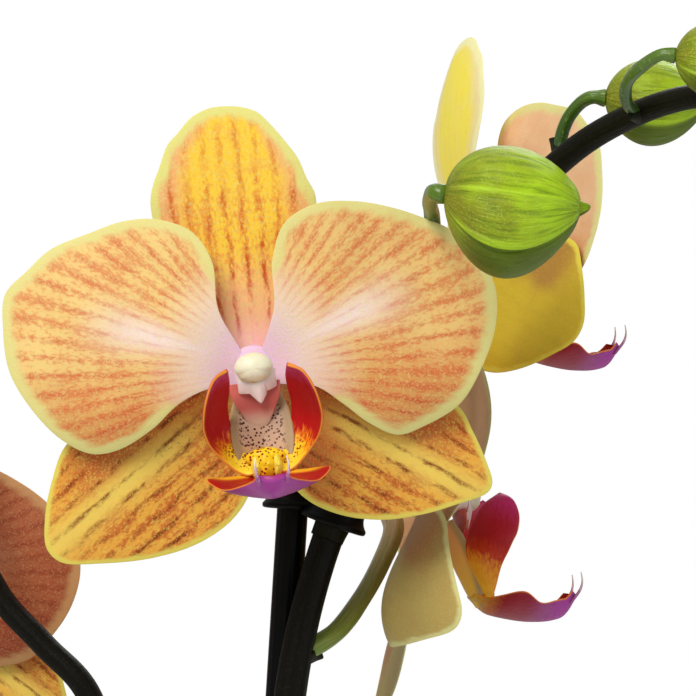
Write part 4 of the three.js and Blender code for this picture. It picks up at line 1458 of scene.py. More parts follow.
@dataclass(frozen=True)
class Placement:
    """Where a flower stands: its centre, the compass of its face, its roll and its scale."""

    centre: tuple[float, float, float]
    facing: float
    roll: float
    scale: float = 1.0

    def axes(self) -> Array:
        """Turn the flower's axes.

        Returns:
            Rows: the viewer's right, up, and the way the flower faces.
        """
        (east, north), (c, s) = cos_sin(self.facing), cos_sin(self.roll)
        right = np.array([-north, east, 0.0])
        return np.array([c * right + s * UP, c * UP - s * right, [east, north, 0.0]])

    def __call__(self, points: Array) -> Array:
        """Points of the flower's own frame put into the part's frame."""
        return points @ (self.axes() * self.scale) + np.asarray(self.centre)


@dataclass
class Flower:
    """An open flower: three sepals, two broad petals, a lip of three lobes, and the column.

    Its own frame has x to the viewer's right, y up and z the way it faces. Pairs of sizes are
    for the left and the right side. Petals and sepals are outlines of x and y, the margins of a
    side lobe are points, a strip's stations are z, y, half width and rise, and the horn is z, y, x.
    """

    name: str
    place: Placement
    fineness: Fineness
    turns: Pair = (0.0, 0.0)
    twists: Pair = (0.08, 0.08)
    pouches: Pair = (0.0, 0.0)
    lean: float = 0.0
    hood: float = -0.0012
    crown: float = 1.0
    curls: Pair = (0.0022, 0.0022)
    tucks: Pair = (0.026, 0.026)
    tuck_starts: Pair = (-3.0, -3.0)
    fold: float = 0.0
    reclines: Pair = (0.0014, 0.0014)
    lip_swing: float = 0.0
    lip_drop: float = 0.0
    # Suffix of recoloured tissue finishes for a flower in the shade: painted light and shade.
    shade: str = ""
    stalk: Points = ()
    stalk_shades: Pair = (0.4, 0.8)
    receptacle_depth: float = 6.0
    run_in: float = 3.2
    bract_reach: float = 2.4

    LEFT_PETAL = (
        (-1.4, 2.4), (-5.2, 11.9), (-5.4, 20.5), (-8.4, 26.3), (-14.6, 29.4), (-21.2, 29.7),
        (-27.2, 28.3), (-34.6, 26.1), (-39.2, 22.7), (-43.7, 18.9), (-44.7, 12.4), (-44.3, 4.7),
        (-41.1, -2.3), (-36.2, -8.6), (-31.2, -11.7), (-26.1, -11.5), (-19.5, -8.4), (-14.2, -4.4),
        (-9.2, -2.3), (-1.4, -1.6),
    )
    RIGHT_PETAL = (
        (1.4, 2.4), (4.9, 11.6), (5.4, 19.7), (8.4, 26.4), (14.2, 29.2), (21.4, 29.0), (28.2, 27.1),
        (34.0, 24.5), (39.0, 21.5), (43.4, 16.3), (45.2, 10.3), (44.4, 3.5), (41.0, -3.8),
        (36.5, -9.7), (30.0, -12.9), (24.8, -14.1), (19.6, -11.2), (15.2, -7.1), (10.7, -3.6),
        (1.4, -1.6),
    )
    DORSAL_SEPAL = (
        (-2.9, -1.5), (-6.2, 9.2), (-11.2, 18.9), (-15.2, 27.5), (-15.8, 32.8), (-15, 36),
        (-13.7, 38.7), (-11.6, 43.1), (-9.7, 44.9), (-6.9, 47.6), (-3.5, 49), (0.6, 49), (3.5, 48.3),
        (5.4, 47.3), (7.6, 44.75), (9.8, 41.6), (11.9, 38.1), (13.1, 34.3), (14.3, 31.3), (14, 26.2),
        (11.3, 18.4), (5.7, 8.9), (2.6, -1.5),
    )
    LEFT_SEPAL = (
        (1.0, 1.0), (-12.7, -1.0), (-24.0, -3.5), (-35.7, -9.5), (-39.1, -15.6), (-41.3, -22.7),
        (-41.6, -28.4), (-39.3, -31.1), (-32.2, -32.1), (-22.4, -32.1), (-13.8, -30.3),
        (-7.0, -26.5), (-3.0, -21.3), (-0.9, -12.3), (1.8, -3.0),
    )
    RIGHT_SEPAL = (
        (-1.0, 1.0), (11.8, -2.7), (26.2, -5.1), (36.2, -9.9), (38.6, -15.0), (40.7, -21.6),
        (41.2, -24.8), (40.2, -26.5), (34.3, -28.1), (27.8, -29.3), (20.1, -29.5), (12.6, -27.7),
        (6.8, -24.2), (2.8, -18.2), (-1.8, -3.0),
    )
    LOBE_FRONT = (
        (1.6, -17.8, 11.2), (3.4, -18.2, 10.4), (5.2, -17.4, 10.2), (7.0, -15.7, 10.6), (8.6, -13.8, 11.2),
        (9.8, -12, 12.2), (10.5, -9.5, 13.4), (10.45, -7.6, 14.5), (9.6, -4, 15.4), (7.9, -0.6, 14.8),
        (5.5, 0.9, 13.2),
    )
    LOBE_REAR = (
        (1.4, -16.2, 9.6), (2.4, -15.6, 8.2), (3.2, -14.6, 7), (3.9, -12.6, 5.6), (4.8, -10.9, 5.1),
        (5.5, -8.5, 5.2), (5.7, -5.7, 6.3), (5.25, -3.2, 7.8), (5.0, -1.1, 9.5), (5.2, 0.8, 12.8),
    )
    CLAW = (
        (2.1, -4.2, 4.2, 0.8), (3.2, -8.0, 5.4, 1.6), (4.6, -13.0, 5.6, 2.2), (6.8, -17.2, 4.6, 1.8),
        (8.8, -19.4, 2.4, 0.7),
    )
    COLUMN_FOOT = (
        (5.2, -1.8, 4.6, 0.5), (5.4, -4.0, 4.4, 0.5), (5.0, -6.6, 3.2, 0.4), (4.4, -8.6, 2.2, 0.25),
        (3.5, -10.4, 1.2, 0.1),
    )
    MIDDLE_LOBE = (
        (7.0, -18.2, 2.4, 0.2), (10.6, -19.7, 7.2, 1.8), (14.6, -20.7, 11.0, 2.9),
        (19.0, -21.4, 8.6, 1.7), (24.0, -21.3, 4.8, 2.3), (27.2, -20.3, 3.6, 2.1),
        (29.4, -18.2, 2.8, 1.0),
    )
    TENDRIL = ((28.0, -18.9, 2.3), (29.2, -18.0, 2.6), (30.0, -17.0, 2.8), (30.4, -15.8, 2.85),
               (30.3, -14.6, 2.7))

    def wave(self, x: Array, y: Array) -> Array:
        """Wave of a sepal: 0.5 sin(7 atan2(y, x)) (r / 45)^2."""
        return 0.5 * np.sin(7 * np.arctan2(y, x)) * (np.hypot(x, y) / 45) ** 2

    def petal_height(self, side: int, x: Array, y: Array) -> Array:
        """Front of a petal.

        0.9 + 3.4 smooth(r / 16) - curl r^2 - tuck max(0, start - y)^2
        + 0.7 (r / 45)^2 sin(5 atan2(y, |x|) + 0.6), plus gentle swells of 0.35 mm; the upper
        inner corner is set back by the fold.

        Args:
            side: 0 for the left petal, 1 for the right one.
            x: place across.
            y: place up.

        Returns:
            Height in front of the flower's plane.
        """
        r = np.hypot(x, y)
        wave = 0.7 * (r / 45) ** 2 * np.sin(5 * np.arctan2(y, np.abs(x)) + 0.6)
        swell = 0.35 * noise(joined(x, y).reshape(-1, 2), 15, 8).reshape(x.shape)
        bend = self.curls[side] * r * r + self.tucks[side] * np.maximum(0, self.tuck_starts[side] - y) ** 2
        corner = self.fold * smooth((y - 10) / 14) * (1 - smooth((np.abs(x) - 8) / 22))
        return 0.9 + 3.4 * smooth(r / 16) - bend - corner + wave + swell * smooth((r - 12) / 10)

    def dorsal_height(self, x: Array, y: Array) -> Array:
        """Front of the upper sepal: -0.7 - 1.5 smooth(r / 10) + lean r smooth(r / 12) + hood r^2 + wave.

        Args:
            x: place across.
            y: place up.

        Returns:
            Height in front of the flower's plane.
        """
        r = np.hypot(x, y)
        lift = self.lean * r * smooth(r / 12) + self.hood * r * r
        return -0.7 - 1.5 * smooth(r / 10) + lift + self.wave(x, y)

    def lateral_height(self, side: int, x: Array, y: Array) -> Array:
        """Front of a lower sepal: level - 1.5 smooth(r / 10) - recline r^2 + wave, its twist and pouch.

        The twist, a slope, tips it about the axis. The pouch sets it back by
        pouch exp(-(d / 20)^2), with d from the point 24 mm out and 24 mm down.

        Args:
            side: 0 for the left sepal, 1 for the right one.
            x: place across.
            y: place up.

        Returns:
            Height in front of the flower's plane.
        """
        r = np.hypot(x, y)
        _, above = self.lateral_place(side, x, y)
        pouch = np.exp(-((np.abs(x) - 24) ** 2 + (y + 24) ** 2) / 400)
        tip = self.twists[side] * above * smooth(r / 14) - self.pouches[side] * pouch
        level = (-0.9, -1.15)[side] - 1.5 * smooth(r / 10) - self.reclines[side] * r * r
        return level + tip + self.wave(x, y)

    def lateral_place(self, side: int, x: Array, y: Array) -> tuple[Array, Array]:
        """Places along a lower sepal's axis, which is (-1 or 1, -0.7) turned by its turn, and above it.

        Args:
            side: 0 for the left sepal, 1 for the right one.
            x: place across.
            y: place up.

        Returns:
            Distance along the axis, and height above it.
        """
        out, down = self.swung(unit(np.array([[1.0 if side else -1.0, -0.7]])), self.turns[side])[0]
        return x * out + y * down, np.sign(out) * (out * y - down * x)

    def swung(self, points: Points, degrees: float) -> Array:
        """Points of the plane turned about the flower's centre."""
        c, s = cos_sin(degrees)
        return np.asarray(points, float) @ np.array([[c, s], [-s, c]])

    def petal_paint(self, side: int, at: Spread) -> Values:
        """Values on a petal.

        Veins fan out from a point 3.5 mm beyond the middle, one every 4.6 degrees. The heart
        reaches 11 mm out, the white band follows the midrib at 20 degrees, the ground grows
        warmer downwards, and the rim's ramp, 3.6 mm wide, ends near the heart.

        Args:
            side: 0 for the left petal, 1 for the right one.
            at: the petal's front or back.

        Returns:
            Values by name.
        """
        px, py = np.abs(at.x) + 3.5, at.y - 0.5
        angle, r = np.degrees(np.arctan2(py, px)), np.hypot(px, py)
        low = smooth((8 - at.y) / 18)
        ray = np.exp(-(((angle - 20) / 7.5) ** 2)) * smooth((39 - r) / 16)
        band = np.maximum(0.85 * (1 - smooth((r - 10) / 15)), 0.85 * ray)
        warm = 0.15 + 0.75 * low * smooth((r - 12) / 14) + 0.12 * side
        envelope = smooth((r - 10) / 14) * (1 - 0.5 * ray) * smooth((at.left + 1) / 4) * (0.75 + 0.25 * low)
        rim = 2 * smooth((r - 12) / 10) - 1 - at.left / 3.6
        return {
            "flow": joined(angle / 4.6, r, at.front),
            "tone": joined(envelope, rim, 0.85 * (1 - smooth((r - 6) / 9))),
            "zone": joined(band, warm, 0),
        }

    def dorsal_paint(self, at: Spread) -> Values:
        """Values on the upper sepal: parallel veins 2.7 mm apart below and 3.2 above.

        The veins fade in the top third, the base is pink, the flanks are warmer, and the rim's
        ramp is 3.8 mm wide.

        Args:
            at: the sepal's front or back.

        Returns:
            Values by name.
        """
        flank = smooth((np.abs(at.x) / (np.abs(at.x) + at.left + 0.5) - 0.45) / 0.4)
        fade = 1 - 0.55 * smooth((at.y - 26) / 14)
        envelope = smooth((at.y - 2) / 8) * fade * smooth((at.left + 1) / 3)
        rim = 2 * smooth((at.y - 6) / 8) - 1 - at.left / 3.8
        return {
            "flow": joined(at.x / (2.7 + 0.5 * smooth(at.y / 36)) + 0.5, at.y, at.front),
            "tone": joined(envelope, rim, 0.8 * (1 - smooth((at.y - 4) / 8))),
            "zone": joined(0.75 * smooth((24 - at.y) / 14), 0.75 * flank, 0),
        }

    def lateral_paint(self, side: int, at: Spread) -> Values:
        """Values on a lower sepal: veins 2.9 mm apart along it.

        A yellower band 6 mm wide follows the midrib and the half above it is warmer; on the back that
        share carries painted shade of the fold. The right one's foot is darker and warmer as painted shadow
        of the petal. A few small dots stand near the lip, and the rim's ramp is 1.8 mm wide.

        Args:
            side: 0 for the left sepal, 1 for the right one.
            at: the sepal's front or back.

        Returns:
            Values by name.
        """
        along, above = self.lateral_place(side, at.x, at.y)
        band = np.exp(-((above / 3.0) ** 2)) * smooth((along - 10) / 12) * 0.85
        warm = smooth(above / 5) * 0.95 * smooth((44 - along) / 14)
        # Painted shadow: the right sepal's foot is darkened where the petal shades it.
        warm = np.maximum(warm, 0.8 * side * smooth((28 - along) / 12))
        dots = smooth((along - 9) / 4) * (1 - smooth((along - 18) / 8)) * smooth((3 - above) / 3)
        fade = 1 - 0.5 * smooth((along - 38) / 10)
        envelope = smooth((along - 4) / 8) * smooth((at.left + 1) / 3) * fade
        return {
            "flow": joined(above / 2.9 + 0.5, along, at.front),
            "tone": joined(envelope, 1 - at.left / 1.8, 0.6 * (1 - smooth((along - 3) / 7))),
            "zone": joined(band, warm, 0.6 * dots),
        }

    def petals(self) -> list[Skin]:
        """Form both petals and the disc that joins them.

        Returns:
            The disc, then the petals.
        """
        seat = ((0, 0.1), (3, 0.1), (4.6, 0.2), (5, 0.65), (4.6, 1.1), (3, 1.2), (0, 1.2))
        disc = lathe(seat, 48).tinted(flow=(0, 4, 1), tone=(0, 0, 1), zone=(0, 0, 0))
        return [disc, *(
            blade(outline, partial(self.petal_height, side), self.fineness.value,
                  partial(self.petal_paint, side))
            for side, outline in enumerate((self.LEFT_PETAL, self.RIGHT_PETAL))
        )]

    def upper_sepal(self) -> list[Skin]:
        """Form the upper sepal, and the receptacle that the flower grows from.

        Returns:
            The receptacle, then the sepal.
        """
        depth = self.receptacle_depth
        cup = (
            (0, -depth), (1.7, -depth), (2.1, -depth + 0.4), (2.6, -4.6), (3.7, -2.9), (4, -2),
            (4, -0.7), (3.7, -0.25), (0, -0.2),
        )
        base = lathe(cup, 40).tinted(flow=(0, 4, 0), tone=(0, 0.3, 0.5), zone=(0, 0, 0))
        outline = np.asarray(self.DORSAL_SEPAL) * [1, self.crown]
        return [base, blade(outline, self.dorsal_height, self.fineness.value, self.dorsal_paint)]

    def lower_sepals(self) -> list[Skin]:
        """Form the two lower sepals, each swung by its turn.

        Returns:
            The left sepal, then the right one.
        """
        return [
            blade(self.swung(outline, self.turns[side]), partial(self.lateral_height, side),
                  self.fineness.value, partial(self.lateral_paint, side))
            for side, outline in enumerate((self.LEFT_SEPAL, self.RIGHT_SEPAL))
        ]

    def lip_turned(self, skin: Skin) -> Skin:
        """Put a part of the lip in its place, let down and then swung about y.

        It comes down by drop smooth((z - 4) / 7) (1 - 0.45 smooth((z - 26) / 4)) times
        smooth((-12 - y) / 6), so the part above y = -12 stays where it is.

        Args:
            skin: the part in the lip's own coordinates.

        Returns:
            The part, whose trait spot keeps those coordinates.
        """
        c, s = cos_sin(self.lip_swing)
        x, y, z = skin.points.T
        fall = self.lip_drop * smooth((z - 4) / 7) * (1 - 0.45 * smooth((z - 26) / 4))
        low = joined(x, y - fall * smooth((-12 - y) / 6), z)
        turned = skin.moved(lambda points: low @ np.array([[c, 0, -s], [0, 1, 0], [s, 0, c]]))
        return turned.tinted(spot=skin.points)

    def side_lobe(self, sign: float) -> Skin:
        """A side lobe, lofted between its front and its rear margin.

        At share s of the height and u from front to rear a point is front(s) (1 - u) + rear(s) u,
        pushed outwards and back by 1.5 sin(pi u) sin(pi s)^0.7.

        Args:
            sign: -1 for the left lobe, 1 for the right one.

        Returns:
            The lobe.
        """
        rows = self.fineness.value[1] + 24
        front, rear = (spline(margin, rows)[:, None] for margin in (self.LOBE_FRONT, self.LOBE_REAR))
        v = np.sin(np.linspace(-np.pi / 2, np.pi / 2, 27))
        u, s = (v[None, :, None] + 1) / 2, np.linspace(0, 1, rows)[:, None, None]
        push = 1.5 * np.sin(np.pi * u) * np.sin(np.pi * s) ** 0.7
        middle = front * (1 - u) + rear * u + push * np.array([0.8, 0.0, -0.6])
        left = (1 + v) * np.linalg.norm(front - rear, axis=-1) / 2
        dotted = smooth((-11 - middle[..., 1]) / 3) * smooth((u[..., 0] - 0.2) / 0.3)
        skin = sheet(middle, v, 0.75, lambda side: {"edge": joined(side, left, dotted)})
        return self.lip_turned(skin.moved(lambda points: points * [sign, 1, 1]))

    def strip(self, stations: Points, thick: float, raised: float = 0.0,
              dotted: Callable[[Array, Array, Array], Array | float] = lambda z, y, left: 0.0) -> Skin:
        """A bent strip along stations of depth, height, half width and rise.

        A point is the middle line + half v across + rise |v|^1.6 along the normal.

        Args:
            stations: the strip's stations.
            thick: thickness at its middle.
            raised: rise added to the margins in front of the claw.
            dotted: share of spots by depth, height and distance to the margin.

        Returns:
            The strip.
        """
        rows = spline(stations, 56)
        v = np.sin(np.linspace(-np.pi / 2, np.pi / 2, 37))
        z, y, half, rise = rows.T[:, :, None]
        along = unit(np.gradient(rows[:, :2], axis=0))
        lift = (rise + raised * smooth((z - 4) / 7)) * np.abs(v) ** 1.6
        middle = joined(half * v, y + lift * along[:, :1], z - lift * along[:, 1:])
        left = (1 - np.abs(v)) * half
        share = dotted(z, y, left)
        return sheet(middle, v, thick * (1 - 0.55 * v**2), lambda side: {"edge": joined(side, left, share)})

    def cushion(self) -> list[Skin]:
        """Form the callus: a dotted pad and a tongue below it, between two paler ridges.

        Returns:
            The ridges, the tongue and the pad.
        """
        def dented(polar: Array, angle: Array) -> Array:
            """Shallow dents all round: 1 + 0.04 sin(3a + 2p)."""
            return 1 + 0.04 * np.sin(3 * angle + 2 * polar)

        parts = (
            ((0.95, 2.1, 1.7), (-1.9, -16.9, 9.9), 0.0), ((0.95, 2.1, 1.7), (1.9, -16.9, 9.9), 0.0),
            ((1.8, 2.6, 1.8), (0.0, -16.6, 9.9), 1.0), ((3.7, 1.6, 1.8), (0.0, -15.1, 9.0), 1.0),
        )
        return [self.lip_turned(ball(size, centre, dented, 28, 36).tinted(edge=(1, 3 * dots, dots)))
                for size, centre, dots in parts]

    def tendrils(self) -> list[Skin]:
        """Form the two fine horns at the lip's tip, whose radius falls from 0.45 to 0.1 mm.

        Returns:
            The left horn, then the right one.
        """
        paths = [spline([[sign * x, y, z] for z, y, x in self.TENDRIL], 20) for sign in (-1, 1)]
        return [self.lip_turned(tube(path, np.linspace(0.45, 0.1, 20), 14).tinted(edge=(0, 3, 0)))
                for path in paths]

    def column(self) -> list[Skin]:
        """The column: a stem, the egg of the cap, the plate below it, and the foot.

        The cap is dented at both sides of its nose. The plate hangs from 0.4 mm above the middle
        to 2.5 to 3.6 mm below it, and to 5.6 mm at its beak.

        Returns:
            Skins whose trait hue holds the shares of yellow-olive, partly painted shade, blush and foot
            colour.
        """
        outline = [[0.02, 1.5], [2.2, 1.5], [2.5, 2.2], [2.4, 4.4], [2.9, 7.0], [2.2, 8.2], [0.02, 8.4]]
        profile = spline(outline, 40)
        profile[[0, -1], 0] = 0

        def brow(polar: Array, angle: Array) -> Array:
            """Dents of 7% at 205 and 335 degrees, and a face flatter by 4% below."""
            dents = sum(np.exp(-(((np.degrees(angle) - place) / 15) ** 2)) for place in (205, 335))
            return 1 - (0.07 * dents + 0.04 * np.maximum(0, -np.sin(angle))) * np.sin(polar)

        def dyed(skin: Skin, cream_and_shade: Array | float, blush: float, foot: Array | float) -> Skin:
            """The skin with the three shares as its only values."""
            return Skin(skin.points, skin.quads, skin.triangles).tinted(hue=joined(cream_and_shade, blush, foot))

        v, r = np.linspace(-1, 1, 61), np.linspace(0, 1, 24)[:, None]
        drop = np.interp(v, [-1, -0.9, -0.38, -0.25, 0.1, 0.36, 0.4, 0.9, 1],
                         [3.7, 3.9, 4.0, 4.5, 6.0, 4.4, 3.8, 3.2, 2.9])
        plate = joined(0.5 + 3.5 * v, 0.4 - r * drop, 8.2 - 1.3 * v**2 + 0.4 * np.sin(np.pi * r) - 0.9 * r)
        cap = ball((3.48, 2.85, 2.6), (0.2, 0.75, 7.8), brow, 40, 64)
        foot = self.strip(self.COLUMN_FOOT, 0.9)
        return [
            dyed(lathe(profile, 48), 0.0, 0.7, 0.0),
            # Painted shade: the cap grows yellow-olive towards its lower edge, partly its own colour.
            dyed(cap, 0.1 + 0.9 * smooth((-0.4 - cap.points[:, 1]) / 1.8), 0.0, 0.0),
            dyed(sheet(plate, v, 0.7, lambda side: {}), 0.1, 0.75, 0.0),
            dyed(foot, 0.3, 0.3, 1 - 0.75 * smooth((-6.0 - foot.points[:, 1]) / 3.4)),
        ]

    def stalk_skin(self) -> Skin:
        """Run the stalk, ribbed by 1 + 0.045 cos 6a, to just short of the receptacle.

        Returns:
            The stalk.
        """
        face = self.place.axes()[2]
        end = np.asarray(self.place.centre) - face * self.receptacle_depth * self.place.scale
        path = spline([*self.stalk, end - face * self.run_in, end - face * 0.2], 130)
        girth = np.interp(np.linspace(0, 1, 130), [0, 0.5, 1], [2.1, 1.8, 2.2])
        radius = girth * (1 + 0.04 * noise(path, 11, 4))
        return shaded(tube(path, radius, 36, ribbed(36, 6, 0.045), (0.3, 0.2)), self.stalk_shades)

    def build(self, wardrobe: Wardrobe) -> list[Piece]:
        """Make and dress every piece of the flower.

        Args:
            wardrobe: finishes by name; a recoloured copy named with the flower's shade suffix, which paints
                that flower's light and shade, comes before the plain one.

        Returns:
            The pieces.
        """
        claw = self.strip(self.CLAW, 1.3, dotted=lambda z, y, left: smooth((y + 18.5) / 1.5))
        middle = self.strip(self.MIDDLE_LOBE, 1.2, 0.3 * self.lip_drop,
                            lambda z, y, left: smooth((3.4 - left) / 1.6) * smooth((14.5 - z) / 2.5))
        parts = [
            ("upper_sepal", self.upper_sepal(), "upper_sepal", "sepal", "sepals"),
            ("lower_sepals", self.lower_sepals(), "lower_sepal", "sepal", "sepals"),
            ("petal_pair", self.petals(), "petal", "petal", "petals"),
            ("side_lobes", [self.side_lobe(-1.0), self.side_lobe(1.0)], "side_lobe", "lip", "lip"),
            ("claw", [self.lip_turned(claw)], "claw", "lip", "lip"),
            ("middle_lobe", [self.lip_turned(middle)], "middle_lobe", "lip", "lip"),
            ("callus", self.cushion(), "callus", "lip", "lip"),
            ("horns", self.tendrils(), "horn", "lip", "lip"),
            ("column_cap", self.column(), "column", "column", "column"),
        ]
        return [
            make_piece(f"{self.name}_{label}", [skin.moved(self.place) for skin in skins],
                       wardrobe.get(finish + self.shade, wardrobe[finish]), slot, f"{self.name}_{node}")
            for label, skins, finish, slot, node in parts
        ]


@dataclass
class Spike:
    """A flower spike: its stem, the sheaths that clasp it, the bracts, and all stalks on it."""

    name: str
    stem: Stem
    sheaths: Sequence[float]
    flowers: Sequence[Flower]
    buds: Sequence[Bud]

    def stem_skin(self) -> Skin:
        """Run the stem, swollen by 10% at each sheath and bluntly six-sided: 1 + 0.02 cos 6a.

        Returns:
            The stem.
        """
        path = self.stem.path()
        share = np.linspace(0, 1, len(path))
        swell = sum(np.exp(-(((share - s) * walk(path)[-1] / 5) ** 2)) for s in self.sheaths)
        radius = self.stem.girth(share) * (1 + 0.1 * swell + 0.015 * noise(path, 25, 2))
        return shaded(tube(path, radius, 48, ribbed(48, 6, 0.02)), (0.25, 0.45))

    def sheath(self, share: float) -> Skin:
        """A sheath: a thin cup that clasps the stem for 12 mm, its free edge cut to a point.

        At angle a its length is 6 + 6 (0.5 + 0.5 cos a)^2 mm above its foot, and its radius
        grows from 0.35 to 1.35 mm more than the stem's; the inner face stands up to 0.75 mm inside.

        Args:
            share: its place along the stem.

        Returns:
            The cup.
        """
        path = self.stem.path()
        place = int(share * (len(path) - 1))
        way = unit(path[place + 4] - path[place - 4])
        side = unit(np.cross(way, [0.3, 1.0, 0.0]))
        angle, u = circle(64), np.linspace(0, 1, 26)[:, None]
        reach = 6 + 6 * (0.5 + 0.5 * np.cos(angle)) ** 2
        outer = self.stem.girth(share) + 0.35 + 1.0 * u**1.5
        rows = np.vstack([outer, (outer - 0.75 * u**0.3)[::-1]])
        along = np.vstack([u * reach, (u * reach)[::-1]]) - 6.0
        ring = spokes(angle, side, np.cross(way, side))
        grid = path[place] + rows[..., None] * ring + along[..., None] * way
        edge = np.vstack([u, u[::-1]]) ** 6
        return Skin.ring(grid, flow=joined(angle / (2 * np.pi), along, edge),
                         tone=joined(0.45 + 0.35 * edge, 0.5 * edge, edge))

    def bract(self, foot: Array, way: Array, reach: float) -> Skin:
        """A bract that clasps a stalk.

        It is a pointed scale, 5 mm long, below the stalk. At share s of its length its half width
        is 1.15 reach sin(pi s^0.6) (1 - s)^0.3, and it arches under the stalk by
        reach (1 - v^2) + 0.63 s^2.

        Args:
            foot: its lowest point.
            way: unit vector along the stalk.
            reach: how far it stands off the stalk's middle line.

        Returns:
            The scale.
        """
        s, v = np.linspace(0.02, 0.98, 18)[:, None], np.linspace(-1, 1, 13)
        side = unit(np.cross(way, [0.05, 0.1, 1.0]))
        half = 1.15 * reach * np.sin(np.pi * s**0.6) * (1 - s) ** 0.3 + 0.1
        lift = reach * (1 - v**2) + 0.63 * s**2
        middle = (foot + (5 * s)[..., None] * way + (half * v)[..., None] * side
                  + lift[..., None] * np.cross(way, side))
        return sheet(middle, v, 0.6, lambda front: {
            "flow": joined(v, s, front), "tone": joined(0.55, 0.4 * s, 0),
        })

    def build(self, wardrobe: Wardrobe) -> list[Piece]:
        """Make the stem with its sheaths and bracts, and the stalks.

        Args:
            wardrobe: finishes by name.

        Returns:
            The two pieces.
        """
        carriers = [*self.flowers, *(bud for bud in self.buds if len(bud.stalk))]
        skins = [self.stem_skin(), *(self.sheath(share) for share in self.sheaths)]
        for carrier in carriers:
            foot, above = np.array(carrier.stalk[:2], float)
            way = unit(above - foot)
            skins.append(self.bract(foot - way * 0.5, way, carrier.bract_reach))
        stalks = [carrier.stalk_skin() for carrier in carriers]
        return [make_piece(f"{self.name}_stem", skins, wardrobe["stem"], "spike", self.name),
                make_piece(f"{self.name}_stalks", stalks, wardrobe["stalk"], "spike", self.name)]


@dataclass
class Studio:
    """The camera of the photograph, soft light from above under a white surround, a pale floor."""

    camera: tuple[float, float, float] = (24.0, -518.0, 430.0)
    focal: float = 2640.0
    frame_width: float = 696.0
    sensor: float = 36.0
    floor_radius: float = 1150.0
    ambient: float = 0.4

    def add_light(self, name: str, place: Sequence[float], size: float, power: float, colour: str) -> None:
        """Add a square soft light that is turned towards the flowers.

        Args:
            name: the light's name.
            place: where it stands, in metres.
            size: width in metres.
            power: watts.
            colour: hex colour.
        """
        lamp = bpy.data.lights.new(name, "AREA")
        lamp.size = size
        lamp.energy = power
        lamp.color = linear(colour)[:3]
        holder = bpy.data.objects.new(name, lamp)
        holder.location = place
        flowers = Vector((0.0, 0.0, 0.42))
        holder.rotation_euler = (flowers - Vector(place)).to_track_quat("-Z", "Y").to_euler()
        bpy.context.scene.collection.objects.link(holder)

    def build(self, floor: Material) -> None:
        """Place camera, lights, world and floor.

        Args:
            floor: finish of the floor.
        """
        scene = bpy.context.scene
        lens = bpy.data.cameras.new("photo_view")
        lens.sensor_width = self.sensor
        lens.lens = self.focal / self.frame_width * self.sensor
        lens.clip_start = 0.01
        view = bpy.data.objects.new("photo_view", lens)
        view.location = np.array(self.camera) * MM
        view.rotation_euler = (np.pi / 2, 0, 0)
        scene.collection.objects.link(view)
        scene.camera = view

        # The world lights the plant at a share of what the camera sees behind it, which is white.
        scene.world = bpy.data.worlds.new("studio_white")
        scene.world.use_nodes = True
        tree = scene.world.node_tree
        tree.nodes.clear()
        seen = add_node(tree, "LightPath")
        strength = add_node(tree, "MapRange", seen, 0.0, 1.0, self.ambient, 1.0)
        add_node(tree, "OutputWorld", add_node(tree, "Background", "#ffffff", strength))
        scene.view_settings.view_transform = "Standard"

        self.add_light("key_soft", (-0.5, -0.85, 1.3), 0.7, 15.0, "#fffaf4")
        self.add_light("fill_right", (0.9, -0.8, 0.6), 0.8, 2.5, "#f6f9ff")
        self.add_light("rim_back", (0.3, 0.9, 1.1), 0.6, 4.0, "#ffffff")

        rings = ((0, -2.0), (self.floor_radius, -2.0), (self.floor_radius, 0), (0, 0))
        ground = make_piece("floor_paper", [lathe(rings, 96)], floor, "floor")


FLOWERS = (
    Flower(
        "bloom_1", Placement((7, -38, 425.6), -90, 6), Fineness.NEAR, lean=0.02, hood=-0.001, lip_swing=4.5,
        stalk=((25.6, -8.2, 406.5), (23, -13, 414), (16, -18, 421.6), (10, -23.4, 425.4)),
    ),
    Flower(
        "bloom_2", Placement((52.8, 25, 449.1), 18, -4, 0.96), Fineness.MIDDLE, turns=(-13, 0),
        twists=(0.4, 0.1), lean=-0.375, hood=0.0076, crown=0.947, curls=(-0.0014, -0.0014), fold=4.5,
        reclines=(-0.0018, -0.0018), lip_drop=2.8,
        stalk=((40.3, -15.6, 435), (36.5, -6, 440), (35.5, 8, 445.6), (38.6, 17.6, 448.6)),
    ),
    # bloom_3 wears the dusk copies of its finishes: painted shade.
    Flower(
        "bloom_3", Placement((41.1, 21, 398.4), 15, -11), Fineness.MIDDLE, turns=(-3, -34),
        twists=(0.0, 0.2), pouches=(15.0, 0.0), lean=-0.1, hood=0.002, curls=(0.0024, 0.0),
        tucks=(0.014, 0.0), tuck_starts=(16.0, -3.0), reclines=(0.0, 0.003), lip_drop=2.8, shade="_dusk",
        stalk=((14.8, -9, 371), (21.5, -4, 374.6), (26.6, 2, 380.6), (30.6, 8, 387.2), (33.2, 13.5, 393.6)),
        stalk_shades=(0.6, 1.0),
    ),
    # bloom_4 wears the darker, redder petal copy: partly its hue, partly painted shade.
    Flower(
        "bloom_4", Placement((-76.8, 62, 379), -110, -10), Fineness.FAR, turns=(0, 8), shade="_rosy",
        stalk=((-75, 76, 440), (-72, 82, 426), (-70.5, 81.6, 405), (-71.4, 77, 387)),
    ),
    Flower(
        "bloom_5", Placement((-132, 84, 412), -101.5, 4), Fineness.FAR, twists=(0.1, 0.1),
        hood=-0.0014, reclines=(0.0016, 0.0016),
        stalk=((-124, 108.4, 442), (-126, 108, 432), (-128.4, 104, 420), (-129.6, 99, 414)),
    ),
)
